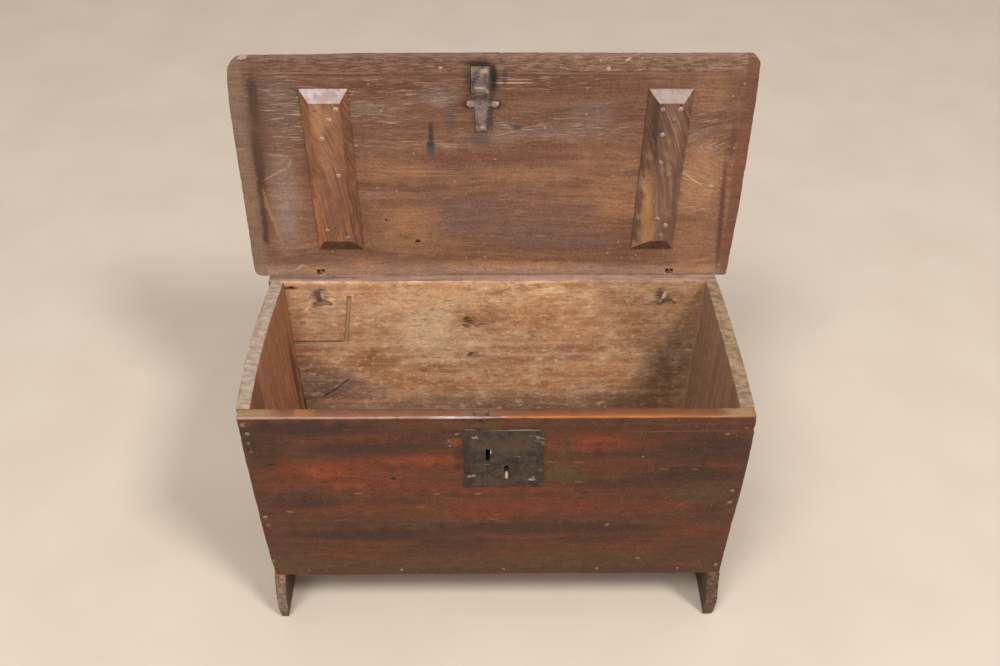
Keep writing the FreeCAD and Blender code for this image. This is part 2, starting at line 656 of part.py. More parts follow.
# ---- the whole chest ----
CHEST = {
    "front_board": front_board(),
    "back_board": back_board(),
    "left_end_board": left_end_board(),
    "right_end_board": right_end_board(),
    "bottom_board": bottom_board(),
    "front_board_nails": group(front_board_nails()),
    "back_board_nails": group(back_board_nails()),
    "bottom_board_nails": group(bottom_board_nails()),
    "lock_plate": lock_plate(),
    "lock_plate_nails": group(lock_plate_nails()),
    "lock_bolt": lock_bolt(),
    "bolt_guides": group([bolt_guide(x) for x in GUIDE_X]),
    "bolt_spring": bolt_spring(),
    "key_post": key_post(),
    "key_ward": key_ward(),
    "left_back_hinge_pin": back_hinge_pin(-HINGE_X),
    "right_back_hinge_pin": back_hinge_pin(HINGE_X),
}
LID = {
    "lid_board": lid_board(),
    "left_lid_cleat": left_lid_cleat(),
    "right_lid_cleat": right_lid_cleat(),
    "left_cleat_nails": group(cleat_nails(LEFT_CLEAT_NAILS)),
    "right_cleat_nails": group(cleat_nails(RIGHT_CLEAT_NAILS)),
    "keeper_plate": keeper_plate(),
    "keeper_plate_nails": group(keeper_plate_nails()),
    "lid_staple": lid_staple(),
    "left_lid_hinge_pin": lid_hinge_pin(-HINGE_X),
    "right_lid_hinge_pin": lid_hinge_pin(HINGE_X),
}

os.makedirs("parts", exist_ok=True)
nodes = dict(CHEST)
nodes.update({name: in_lid(shape) for name, shape in LID.items()})
middle = group(list(nodes.values())).BoundBox.Center
for name, shape in nodes.items():
    shape.translate(Vector(-middle.x, -middle.y, 0))
    shape.exportStep(f"parts/{name}.step")

whole = group(list(nodes.values())).BoundBox
print("moved by", round(-middle.x, 3), round(-middle.y, 3), "hinge axis at", round(AXIS_Y - middle.y, 3), AXIS_Z)
print("box", whole)
for name, shape in nodes.items():
    print(name, len(shape.Solids), "solids", "valid" if shape.isValid() else "NOT VALID", round(shape.Volume))
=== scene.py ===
import json
import math

import bmesh
import bpy
from mathutils import Matrix, Vector
from mathutils.kdtree import KDTree
from mathutils.noise import noise as perlin


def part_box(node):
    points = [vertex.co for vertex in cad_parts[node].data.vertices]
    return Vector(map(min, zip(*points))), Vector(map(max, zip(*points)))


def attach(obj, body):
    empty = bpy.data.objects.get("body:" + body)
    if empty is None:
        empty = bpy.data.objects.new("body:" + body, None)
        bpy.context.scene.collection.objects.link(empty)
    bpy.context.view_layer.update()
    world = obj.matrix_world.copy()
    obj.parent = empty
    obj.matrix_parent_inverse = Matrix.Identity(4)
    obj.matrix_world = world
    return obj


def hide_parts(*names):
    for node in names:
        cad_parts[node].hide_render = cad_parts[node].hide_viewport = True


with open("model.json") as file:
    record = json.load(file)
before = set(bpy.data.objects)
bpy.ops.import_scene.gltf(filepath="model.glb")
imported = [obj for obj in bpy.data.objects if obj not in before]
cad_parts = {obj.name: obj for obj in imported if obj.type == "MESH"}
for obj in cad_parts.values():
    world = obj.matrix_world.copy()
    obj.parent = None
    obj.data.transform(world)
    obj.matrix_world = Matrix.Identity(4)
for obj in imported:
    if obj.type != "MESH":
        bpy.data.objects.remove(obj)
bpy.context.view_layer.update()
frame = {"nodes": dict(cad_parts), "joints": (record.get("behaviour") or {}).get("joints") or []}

# Places are in millimetres: x from mid width, y back from the front face, z up from the floor.
# The lid's places are written with the lid shut, and LID_PLACE opens it. On the lid, s is the
# distance from its rear edge.
MM = 0.001
FRONT_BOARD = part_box("front_board")
FRONT_LEFT_X = -382.0
HINGE = next(joint for joint in frame["joints"] if joint["name"] == "lid_hinge")
AXIS = Vector(HINGE["pos_m"])
OPEN_ANGLE = math.radians(HINGE["range_deg"][1])
SHIFT = Vector((FRONT_BOARD[0].x - FRONT_LEFT_X * MM, FRONT_BOARD[0].y, 0))
CHEST_PLACE = Matrix.Translation(SHIFT) @ Matrix.Scale(MM, 4)
LID_TURN = Matrix.Translation(AXIS) @ Matrix.Rotation(-OPEN_ANGLE, 4, "X") @ Matrix.Translation(-AXIS)
LID_PLACE = LID_TURN @ CHEST_PLACE

DEPTH = 345.0
RIM = 500.0
FOOT_HEIGHT = 122.0
BOARD = 20.0
BACK_INNER = DEPTH - BOARD
LEFT_INNER = -361.0
HINGE_X = (-298.0, 298.0)
HINGE_Y, HINGE_Z = 348.7, 503.0

LID_Z = 500.4
LID_THICKNESS = 20.0
LID_REAR = 355.7

# The usual rounding of an arris, and the spacing of the cuts that give wear its points.
ARRIS = 1.8
SLICE = 6.0


# ---- solids ----
def mesh_from(bm, name):
    """The mesh of a bmesh, which is freed."""
    mesh = bpy.data.meshes.new(name)
    bm.to_mesh(mesh)
    bm.free()
    return mesh


def scene_object(name, data, material=None):
    """An object in the scene, made from a mesh, a lamp or a camera."""
    obj = bpy.data.objects.new(name, data)
    bpy.context.scene.collection.objects.link(obj)
    if material:
        data.materials.append(material)
    return obj


def slab(x, y, z):
    """A box between the pairs x, y and z."""
    bm = bmesh.new()
    bmesh.ops.create_cube(bm, size=1)
    size = Vector((x[1] - x[0], y[1] - y[0], z[1] - z[0]))
    middle = Vector((x[0] + x[1], y[0] + y[1], z[0] + z[1])) / 2
    bmesh.ops.transform(bm, matrix=Matrix.Translation(middle) @ Matrix.Diagonal((*size, 1)), verts=bm.verts)
    return bm


def prism(corners, sweep):
    """A flat outline of corner points, swept by a vector."""
    bm = bmesh.new()
    face = bm.faces.new([bm.verts.new(corner) for corner in corners])
    swept = bmesh.ops.extrude_face_region(bm, geom=[face])
    moved = [v for v in swept["geom"] if isinstance(v, bmesh.types.BMVert)]
    bmesh.ops.translate(bm, verts=moved, vec=sweep)
    bmesh.ops.recalc_face_normals(bm, faces=bm.faces)
    return bm


def arc_points(start, through, end, steps):
    """Points of the circular arc from start through a middle point to end, in a plane."""
    (ax, ay), (bx, by), (cx, cy) = start, through, end
    d = 2 * (ax * (by - cy) + bx * (cy - ay) + cx * (ay - by))
    aa, bb, cc = ax * ax + ay * ay, bx * bx + by * by, cx * cx + cy * cy
    ux = (aa * (by - cy) + bb * (cy - ay) + cc * (ay - by)) / d
    uy = (aa * (cx - bx) + bb * (ax - cx) + cc * (bx - ax)) / d
    radius = math.hypot(ax - ux, ay - uy)
    first, mid, last = (math.atan2(y - uy, x - ux) for x, y in (start, through, end))
    sweep = math.remainder(mid - first, math.tau) + math.remainder(last - mid, math.tau)
    turns = [first + sweep * k / steps for k in range(steps + 1)]
    return [(ux + radius * math.cos(turn), uy + radius * math.sin(turn)) for turn in turns]


def slice_along(bm, axis, low, high, step):
    """Cut loops across an axis, so that wear has points to move."""
    count = max(1, round((high - low) / step))
    normal = Vector([1 if k == axis else 0 for k in range(3)])
    for k in range(1, count):
        where = normal * (low + (high - low) * k / count)
        bmesh.ops.bisect_plane(bm, geom=[*bm.verts, *bm.edges, *bm.faces], plane_co=where, plane_no=normal)


def sharp_edges(bm, angle):
    """The edges whose two faces turn by more than an angle in degrees."""
    return [e for e in bm.edges if len(e.link_faces) == 2 and e.calc_face_angle(0) > math.radians(angle)]


def round_edges(bm, edges, radius, segments=2):
    """Round these edges off."""
    bmesh.ops.bevel(bm, geom=edges, offset=radius, offset_type="OFFSET", segments=segments, profile=0.5,
                    affect="EDGES", clamp_overlap=True, material=-1)


def arris_tree(bm, angle):
    """A search tree of points along the sharp edges."""
    edges = sharp_edges(bm, angle)
    tree = KDTree(2 * len(edges))
    for k, edge in enumerate(edges):
        first, second = (v.co for v in edge.verts)
        tree.insert(first, 2 * k)
        tree.insert((first + second) / 2, 2 * k + 1)
    tree.balance()
    return tree


def ragged(place, size):
    """Smooth noise from about -1 to 1 whose features are size millimetres."""
    return perlin(place / size)


def rub(bm, tree, depth, chips, reach, seed, dents):
    """Rub the arrises down unevenly, break small chips out of them and press dents in.

    Each dent is its centre, its size and its depth.
    """
    bm.normal_update()
    shift = Vector((seed * 131.0, seed * 57.0, seed * 83.0))
    moves = []
    for v in bm.verts:
        on_arris = math.exp(-(tree.find(v.co)[2] / reach) ** 2)
        place = v.co + shift
        wear = depth * (0.6 + 0.8 * ragged(place, 38.0) + 0.5 * ragged(place, 11.0))
        chip = chips * max(0.0, ragged(place, 9.0) + 0.35 * ragged(place, 60.0) - 0.38) * 3.0
        sink = on_arris * max(0.0, wear + chip)
        for centre, size, deep in dents:
            away = (v.co - Vector(centre)).length / size
            sink += deep * math.exp(-away ** 2 * 2.0) * (0.75 + 0.5 * ragged(place, 7.0))
        moves.append(v.normal * -sink)
    for v, move in zip(bm.verts, moves):
        v.co += move


def worn(bm, radius=ARRIS, angle=25.0, depth=0.7, chips=1.4, reach=4.5, seed=0.0, dents=(), segments=2,
         cutters=()):
    """The solid with rounded arrises, with each cutter taken out of it, and then worn."""
    tree = arris_tree(bm, angle)
    round_edges(bm, sharp_edges(bm, angle), radius, segments)
    if cutters:
        bm = carved(bm, cutters)
    rub(bm, tree, depth, chips, reach, seed, dents)
    return bm


def union_of(parts):
    """Several solids as one mesh of separate shells."""
    whole = bmesh.new()
    for part in parts:
        mesh = mesh_from(part, "part")
        whole.from_mesh(mesh)
        bpy.data.meshes.remove(mesh)
    return whole


def carved(bm, cutters):
    """The solid with each cutter taken out of it."""
    target = scene_object("target", mesh_from(bm, "target"))
    tools = [scene_object("cutter", mesh_from(cutter, "cutter")) for cutter in cutters]
    for tool in tools:
        cut = target.modifiers.new("cut", "BOOLEAN")
        cut.operation = "DIFFERENCE"
        cut.solver = "EXACT"
        cut.object = tool
    evaluated = target.evaluated_get(bpy.context.evaluated_depsgraph_get())
    result = bmesh.new()
    result.from_mesh(evaluated.to_mesh())
    evaluated.to_mesh_clear()
    for obj in [target, *tools]:
        bpy.data.objects.remove(obj)
    bmesh.ops.remove_doubles(result, verts=result.verts, dist=0.002)
    return result


def settle(bm, name, material, nodes, lid=False):
    """Put a finished piece where it belongs, on its body, in place of its CAD nodes."""
    bmesh.ops.transform(bm, matrix=LID_PLACE if lid else CHEST_PLACE, verts=bm.verts)
    for face in bm.faces:
        face.smooth = True
    for edge in sharp_edges(bm, 40.0):
        edge.smooth = False
    mesh = mesh_from(bm, name)
    mesh.validate()
    obj = scene_object(name, mesh, material)
    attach(obj, "lid" if lid else "chest")
    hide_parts(*nodes)


# ---- shader arithmetic ----
class Signal:
    """A socket that ordinary arithmetic can be written on."""

    def __init__(self, finish, socket):
        self.finish = finish
        self.socket = socket

    def __add__(self, other):
        return self.finish.maths("ADD", self, other)

    def __mul__(self, other):
        return self.finish.maths("MULTIPLY", self, other)

    def __sub__(self, other):
        return self.finish.maths("SUBTRACT", self, other)

    def __rsub__(self, other):
        return self.finish.maths("SUBTRACT", other, self)

    def __abs__(self):
        return self.finish.maths("ABSOLUTE", self)

    def most(self, other):
        return self.finish.maths("MAXIMUM", self, other)

    __radd__, __rmul__ = __add__, __mul__


def tint(red, green, blue):
    """A screen colour, 0 to 255, as the linear colour that shaders take."""
    def linear(value):
        value = value / 255
        return value / 12.92 if value <= 0.04045 else ((value + 0.055) / 1.055) ** 2.4
    return (linear(red), linear(green), linear(blue), 1.0)


def as_colour(shade):
    """A shade as a linear colour; a socket stays as it is."""
    return shade if isinstance(shade, bpy.types.NodeSocket) else tint(*shade)


class Finish:
    """One material. Its places are in millimetres in the frame of the board it covers.

    along is the letter of the direction of the grain and across the other one on the face;
    s stands for the distance from the lid's rear edge. Shades are screen colours, 0 to 255, and
    colour is the colour so far.
    """

    def __init__(self, name, along="x", across="z", lid=False):
        self.material = bpy.data.materials.new(name)
        self.material.use_nodes = True
        self.tree = self.material.node_tree
        self.tree.nodes.clear()
        self.shader = self.tree.nodes.new("ShaderNodeBsdfPrincipled")
        output = self.tree.nodes.new("ShaderNodeOutputMaterial")
        self.tree.links.new(self.shader.outputs["BSDF"], output.inputs["Surface"])
        texture = self.node("ShaderNodeTexCoord")
        self.to_world = LID_PLACE if lid else CHEST_PLACE
        self.normal = texture.outputs["Normal"]
        away = self.vector("SUBTRACT", texture.outputs["Object"], self.to_world @ Vector((0, 0, 0)))
        turn = self.to_world.to_3x3() * (1 / MM)
        self.axes = [turn @ Vector(axis) for axis in ((1, 0, 0), (0, 1, 0), (0, 0, 1))]
        self.x, self.y, self.z = (self.dot(away, axis / MM) for axis in self.axes)
        self.place = self.join(self.x, self.y, self.z)
        letters = {"x": self.x, "y": self.y, "z": self.z}
        if "s" in along + across:
            letters["s"] = LID_REAR - self.y
            del letters["y"]
        self.along = letters.pop(along)
        self.across = letters.pop(across)
        self.deep = next(iter(letters.values()))
        self.face = self.join(self.along, self.across, 0.0)

    def node(self, kind, settings=None, sockets=None):
        """Any node: its settings first, then the values or links of its sockets."""
        made = self.tree.nodes.new(kind)
        for key, value in (settings or {}).items():
            setattr(made, key, value)
        for key, value in (sockets or {}).items():
            self.feed(made.inputs[key], value)
        return made

    def feed(self, socket, value):
        if isinstance(value, Signal):
            value = value.socket
        if isinstance(value, bpy.types.NodeSocket):
            self.tree.links.new(value, socket)
        else:
            socket.default_value = value

    def maths(self, operation, *values):
        made = self.node("ShaderNodeMath", {"operation": operation}, dict(enumerate(values)))
        return Signal(self, made.outputs[0])

    def vector(self, operation, *values, output="Vector"):
        made = self.node("ShaderNodeVectorMath", {"operation": operation}, dict(enumerate(values)))
        return made.outputs[output]

    def dot(self, vector, way):
        return Signal(self, self.vector("DOT_PRODUCT", vector, way, output="Value"))

    def join(self, x, y, z):
        return self.node("ShaderNodeCombineXYZ", None, {0: x, 1: y, 2: z}).outputs[0]

    def noise(self, size, detail=3.0, rough=0.5, place=None, shift=0.0):
        """Noise, 0 to 1 about 0.5, whose features have this size along the three directions."""
        moved = self.vector("MULTIPLY_ADD", place or self.place, [1 / s for s in size],
                            (shift, shift * 0.7, shift * 1.3))
        made = self.node("ShaderNodeTexNoise", None,
                         {"Vector": moved, "Scale": 1.0, "Detail": detail, "Roughness": rough})
        return Signal(self, made.outputs["Fac"])

    def step(self, value, low, high, strength=1.0):
        """A smooth 0 to strength as value goes from low to high, or back when low is the larger."""
        made = self.node("ShaderNodeMapRange", {"interpolation_type": "SMOOTHSTEP"},
                         {"Value": value, "From Min": low, "From Max": high, "To Max": strength})
        return Signal(self, made.outputs["Result"])

    def facing(self, x, y, z, low=0.5, high=0.8):
        """1 where the surface faces this way in the board's frame."""
        way = self.axes[0] * x + self.axes[1] * y + self.axes[2] * z
        return self.step(self.dot(self.normal, way), low, high)

    def rounded(self, low=0.03, high=0.16):
        """1 on arrises and in chips, where the surface faces along no axis."""
        most = None
        for axis in self.axes:
            one = abs(self.dot(self.normal, axis))
            most = one if most is None else most.most(one)
        return self.step(1 - most, low, high)

    def grain(self, fine=1.0, shift=0.0, sway=24.0, bend=None, rag=(44, 30)):
        """Wood figure: bands of the rings, fine streaks, pores, mottling and specks."""
        drift = (self.noise((170, 170, 170), 2, shift=shift + 3) - 0.5) * sway
        across = self.across + drift if bend is None else self.across + drift + bend
        self.flow = self.join(self.along, across, self.deep)
        self.bands = self.noise((320, 13 * fine, 13), 4, 0.6, self.flow, shift)
        self.streaks = self.noise((52, 2.0 * fine, 4), 4, 0.62, self.flow, shift + 7)
        self.pores = self.noise((14, 1.0 * fine, 2), 2, 0.5, self.flow, shift + 11)
        self.mottle = self.noise((24, 20, 20), 5, 0.66, self.flow, shift + 17)
        self.speck = self.noise((2.2, 2.2, 2.2), 2, 0.5, None, shift + 23)
        ragged_edge = self.join((self.streaks - 0.5) * rag[0], (self.mottle - 0.5) * rag[1], 0.0)
        self.stain = self.vector("ADD", self.face, ragged_edge)

    def spots(self, *marks, edge=0.5, clean=False):
        """Soft ovals on the face: along, across, their half sizes, strength and perhaps a turn."""
        whole = None
        start = self.face if clean else self.stain
        for along, across, long, wide, strength, *turn in marks:
            if turn:
                away = self.vector("SUBTRACT", start, (along, across, 0))
                cosine, sine = math.cos(math.radians(turn[0])), math.sin(math.radians(turn[0]))
                near = self.join(self.dot(away, (cosine / long, sine / long, 0)),
                                 self.dot(away, (-sine / wide, cosine / wide, 0)), 0.0)
            else:
                near = self.vector("MULTIPLY_ADD", start, (1 / long, 1 / wide, 0),
                                   (-along / long, -across / wide, 0))
            far = Signal(self, self.vector("LENGTH", near, output="Value"))
            one = self.step(far, 1 + edge, 1 - edge, strength)
            whole = one if whole is None else whole.most(one)
        return whole

    def scattered(self, size, share, radius, shift=0.0):
        """Small round flecks, one in a share of the cells of this size."""
        moved = self.vector("MULTIPLY_ADD", self.place, [1 / s for s in size], (shift, shift, shift))
        cells = self.node("ShaderNodeTexVoronoi", None, {"Vector": moved, "Scale": 1.0})
        chance = self.node("ShaderNodeSeparateColor", None, {0: cells.outputs["Color"]}).outputs[0]
        near = self.step(Signal(self, cells.outputs["Distance"]), radius, radius * 0.6)
        return near * self.step(Signal(self, chance), 1 - share, 1 - share + 0.02)

    def mix(self, factor, first, second):
        """From the first colour or shade to the second one as the factor goes from 0 to 1."""
        made = self.node("ShaderNodeMix", {"data_type": "RGBA"},
                         {0: factor, 6: as_colour(first), 7: as_colour(second)})
        return made.outputs[2]

    def coat(self, factor, shade):
        """Lay a shade or another colour over the colour so far."""
        self.colour = self.mix(factor, self.colour, shade)

    def paint(self, shade, *marks, edge=0.5, clean=False):
        """Lay soft ovals of a shade over the colour so far."""
        self.coat(self.spots(*marks, edge=edge, clean=clean), shade)

    def shade(self, colour, factor):
        """The colour times a grey factor."""
        grey = self.node("ShaderNodeCombineColor", None, {0: factor, 1: factor, 2: factor}).outputs[0]
        return self.node("ShaderNodeMix", {"data_type": "RGBA", "blend_type": "MULTIPLY"},
                         {0: 1.0, 6: as_colour(colour), 7: grey}).outputs[2]

    def figured(self, colour, bands=0.3, streaks=0.9, mottle=0.4, speck=0.3, level=1.0):
        """The colour, lighter and darker with the figure of the wood."""
        factor = (self.bands - 0.5) * bands + (self.streaks - 0.5) * streaks
        factor = factor + (self.mottle - 0.5) * mottle + (self.speck - 0.5) * speck + 1.0
        return self.shade(colour, factor * level)

    def figure(self, *levels):
        """Give the colour so far the figure of the wood."""
        self.colour = self.figured(self.colour, *levels)

    def finish(self, roughness, height=None, relief=0.4, metallic=0.0, specular=0.5):
        """The finished material."""
        self.feed(self.shader.inputs["Base Color"], self.colour)
        self.feed(self.shader.inputs["Roughness"], roughness)
        self.feed(self.shader.inputs["Metallic"], metallic)
        self.shader.inputs["Specular IOR Level"].default_value = specular
        if height is not None:
            bump = self.node("ShaderNodeBump", None, {"Height": height, "Strength": relief, "Distance": MM})
            self.feed(self.shader.inputs["Normal"], bump.outputs["Normal"])
        return self.material


# ---- finishes ----
def waxed(m, light=(110, 69, 47), dark=(92, 60, 44), red=(126, 66, 42)):
    """Old dark wax over oak, worn through to red here and there."""
    colour = m.mix(m.step(m.bands, 0.38, 0.62), dark, light)
    return m.mix(m.step(m.noise((110, 34, 34), 3, 0.5, m.flow, 51), 0.52, 0.66, 0.4), colour, red)


def relief(m):
    """The height of a planed and weathered face."""
    return m.streaks * 0.5 + m.pores * 0.4 + m.speck * 0.3 + m.mottle * 0.4


def front_wax():
    """The front board: dark wax outside with red and worn places, orange along the top arris."""
    m = Finish("front_wax", "x", "z")
    m.grain()
    m.colour = m.mix(m.step(m.bands, 0.38, 0.62), (92, 60, 44), (104, 65, 45))
    # Red where the wax is thin, and the brightest of it.
    m.paint((124, 63, 41), (-300, 382, 62, 20, 0.9), (-240, 386, 74, 26, 0.9), (-330, 350, 40, 12, 0.6),
            (-180, 352, 95, 24, 0.7), (-131, 407, 70, 22, 0.9), (-80, 392, 55, 18, 0.6),
            (-43, 291, 95, 26, 0.8), (147, 449, 120, 16, 0.8), (85, 302, 120, 20, 0.7),
            (316, 238, 55, 18, 0.7), (-250, 300, 90, 18, 0.5), (150, 395, 90, 14, 0.5),
            (250, 300, 80, 14, 0.5), (225, 190, 50, 20, 0.5), (-240, 180, 60, 12, 0.4),
            (0, 345, 180, 12, 0.7), (345, 395, 30, 20, 0.5), (-180, 455, 80, 10, 0.5),
            (40, 180, 70, 12, 0.3))
    m.paint((150, 74, 42), (-265, 385, 34, 12, 0.7), (-120, 410, 40, 10, 0.6), (-63, 447, 8, 6, 1.0),
            (-72, 405, 10, 14, 0.4), (147, 452, 40, 7, 0.5), (-235, 352, 40, 7, 0.5),
            (130, 432, 55, 5, 0.4))
    # Dark and dirty stretches, then faded brown ones.
    m.paint((70, 49, 40), (-285, 478, 105, 14, 0.9), (-352, 440, 24, 50, 0.6), (-190, 436, 100, 18, 0.7),
            (-300, 312, 55, 16, 0.8), (299, 372, 85, 20, 0.8), (-206, 232, 130, 15, 0.8),
            (-77, 204, 60, 12, 0.5), (90, 246, 190, 14, 0.7), (320, 430, 75, 34, 0.7),
            (225, 420, 90, 10, 0.5), (180, 352, 80, 10, 0.5), (250, 455, 60, 8, 0.4),
            (-110, 455, 30, 14, 0.5), (160, 215, 60, 10, 0.4), (-30, 245, 90, 10, 0.5),
            (340, 280, 24, 30, 0.3), (60, 136, 300, 6, 0.4))
    m.paint((96, 74, 50), (-335, 150, 60, 22, 0.8), (97, 376, 38, 22, 0.9), (-110, 150, 190, 20, 0.6),
            (325, 330, 40, 26, 0.7), (345, 150, 30, 30, 0.5), (140, 160, 140, 26, 0.6),
            (-128, 262, 26, 16, 0.6), (104, 435, 12, 32, 0.6), (-30, 484, 60, 8, 0.6),
            (-266, 417, 20, 7, 0.6), (-95, 285, 22, 20, 0.4))
    # Small red and dark clouds.
    m.coat(m.step(m.noise((34, 9, 9), 5, 0.7, m.flow, 61), 0.54, 0.68, 0.4), (122, 62, 40))
    m.coat(m.step(m.noise((17, 7, 7), 6, 0.75, m.flow, 67), 0.5, 0.66, 0.6), (70, 50, 41))
    # Dark stains left by an older plate at its left, and painted shade just below and beside the plate's
    # edges.
    m.paint((66, 48, 38), (-60, 466, 8, 9, 0.8), (-58, 425, 9, 15, 0.7), (-57, 393, 9, 9, 0.7),
            (70, 380, 6, 16, 0.5), (-44, 352, 16, 6, 0.5), (8, 348, 60, 3, 0.4), clean=True)
    m.figure(0.1, 0.8, 1.0, 1.7, 0.72 - m.step(m.x, 40, 160, 0.05))
    m.coat(m.step(m.pores, 0.6, 0.7, 0.45), (50, 34, 28))
    # Pale dents and chips, and long fine scratches.
    m.paint((138, 110, 82), (-218, 332, 7, 1.3, 0.7), (-94, 330, 5, 1.3, 0.6), (-120, 299, 8, 1.4, 0.4, 8),
            (-60, 465, 4, 1.6, 0.8, 12), (-72, 452, 1.6, 1.6, 0.8), (-71, 440, 1.6, 1.6, 0.8),
            (-328, 289, 7, 1.5, 0.6, -12), (179, 253, 4.5, 2.4, 0.7, 60), (237, 165, 4, 3, 0.6),
            (-30, 330, 5, 1.5, 0.7), (128, 357, 8, 1.2, 0.5), (222, 414, 1.8, 1.8, 0.9),
            (84, 403, 9, 1.0, 0.35, -8), (124, 402, 8, 1.0, 0.5), (-8, 268, 10, 1.2, 0.4, -4),
            (344, 463, 4, 2.2, 0.7, 25), (258, 386, 8, 1.0, 0.4, -6), (305, 385, 5, 1.0, 0.5, 4),
            (290, 300, 9, 1.0, 0.3, 42), (-373, 486, 5, 4, 0.8), (-371, 447, 3, 3, 0.6),
            (-368, 256, 3.5, 3.5, 0.7), (-250, 268, 13, 0.9, 0.25, 10), clean=True, edge=0.35)
    m.paint((150, 88, 58), (292, 469.5, 92, 0.7, 0.45, 0.4), (-150, 378, 42, 0.8, 0.3, -6),
            (-220, 372, 60, 0.8, 0.3, -9), clean=True)
    # A knot, worm holes and the holes of lost nails.
    m.paint((22, 15, 13), (-160, 367, 3.6, 2.4, 1.0), (-304, 314, 1.8, 1.8, 0.9),
            (-298, 306, 1.5, 1.5, 0.8), (-310, 304, 1.6, 1.6, 0.8), (-290, 311, 1.3, 1.3, 0.7),
            (-370, 486, 2.0, 2.0, 0.9), (-367.5, 447, 1.8, 1.8, 0.8), (-367, 256, 1.6, 1.6, 0.8),
            (-316, 134, 1.8, 1.8, 0.7), (-345, 400, 7, 2.2, 0.6), clean=True, edge=0.4)
    # Where the wax has flecked off, most of it to the right.
    right_half = m.step(m.x, -120, 220, 0.6) + 0.4
    flecks = m.scattered((6, 5, 5), 0.3, 0.17, 5).most(m.scattered((15, 9, 8), 0.35, 0.12, 9))
    m.coat(flecks * right_half * 0.6, (136, 108, 80))
    # The top arris, rubbed, with a painted sheen along it: pinkish to the left, orange to the right, and a
    # painted lilac-white glare over the lock.
    near_top = m.step(m.y, 3.6, 1.8) * m.step(m.z, RIM - 3.2, RIM - 1.6)
    top_arris = (m.rounded(0.02, 0.14) * m.facing(0, 0, 1, 0.2, 0.5)).most(near_top)
    arris_rub_and_sheen = m.mix(m.step(m.x, -40, 20), (168, 134, 124), (170, 104, 58))
    arris_rub_and_sheen = m.mix(m.step(m.x, 300, 370), arris_rub_and_sheen, (150, 100, 70))
    arris_rub_and_sheen = m.mix(m.spots((-40, 500, 46, 20, 0.9)) * m.step(m.streaks, 0.35, 0.55), arris_rub_and_sheen,
                      (212, 200, 210))
    under_top = (m.spots((-28, 495.5, 34, 2.2, 0.9), (10, 495, 24, 1.6, 0.5), edge=0.4)
                 * m.step(m.mottle, 0.35, 0.55))
    m.coat(under_top, (56, 30, 34))
    low_arris = m.rounded() * m.step(m.z, FOOT_HEIGHT + 20, FOOT_HEIGHT) * m.step(m.mottle, 0.45, 0.6, 0.5)
    m.coat(low_arris, (128, 96, 62))
    # The upper edge, dark and rubbed.
    rim = m.mix(m.step(m.x, -40, 60), (110, 76, 60), (108, 68, 45))
    rim = m.mix(m.step(m.y + (m.mottle - 0.5) * 12, 12, 4, 0.7), rim, (136, 82, 52))
    rim = m.mix(m.step(m.y, 14, 18, 0.5), rim, (84, 58, 44))
    rim = m.mix(m.spots((-282, 500, 13, 60, 0.7), edge=0.3), rim, (150, 98, 56))
    rim = m.mix(m.spots((-24, 500, 24, 60, 0.6), (34, 500, 12, 60, 0.3), edge=0.5), rim, (96, 84, 74))
    rim = m.mix(m.spots((-360, 500, 30, 60, 0.8), (360, 500, 26, 60, 0.8)), rim, (142, 114, 84))
    m.coat(m.facing(0, 0, 1, 0.85, 0.97), m.figured(rim, 0.2, 0.9, 0.7, 0.5))
    m.coat(top_arris * (m.step(m.streaks, 0.35, 0.6, 0.4) + 0.5), arris_rub_and_sheen)
    inner = m.figured(m.mix(m.step(m.bands, 0.4, 0.6), (96, 64, 46), (120, 84, 60)), 0.3, 1.0)
    m.coat(m.facing(0, 1, 0, 0.3, 0.7), inner)
    # Bare wood in the slot of the staple, painted lighter to stand for light in its shade, and painted
    # shade, near black, in the room of the lock and behind the older keyhole's head.
    mortice = (m.step(m.z, 499.4, 498.4) * m.step(abs(m.x + 24), 13.6, 12.8)
               * m.step(abs(m.y - 10), 7.8, 6.8))
    m.coat(mortice * 0.9, (156, 124, 100))
    lock_room = (m.step(m.z, 402, 403.5) * m.step(m.z, 475, 474) * m.step(m.x, -36.5, -35)
                 * m.step(m.x, 57, 56))
    lock_room = (lock_room * m.step(m.y, 0.3, 1.2)).most(m.spots((14.3, 392, 7, 9.5, 1.0), edge=0.1,
                                                                 clean=True))
    m.coat(lock_room * m.step(m.y, 18, 17), (12, 9, 8))
    # A light place, seen through the older keyhole.
    streak = m.spots((15, 373, 2.4, 9.5, 1.0), edge=0.3, clean=True) * m.step(m.y, 4, 2)
    m.coat(streak, (182, 162, 144))
    rough = (m.mottle - 0.5) * 0.5 + (m.bands - 0.5) * 0.2 + 0.5
    return m.finish(rough - top_arris * 0.15, relief(m), 0.45, specular=0.16)


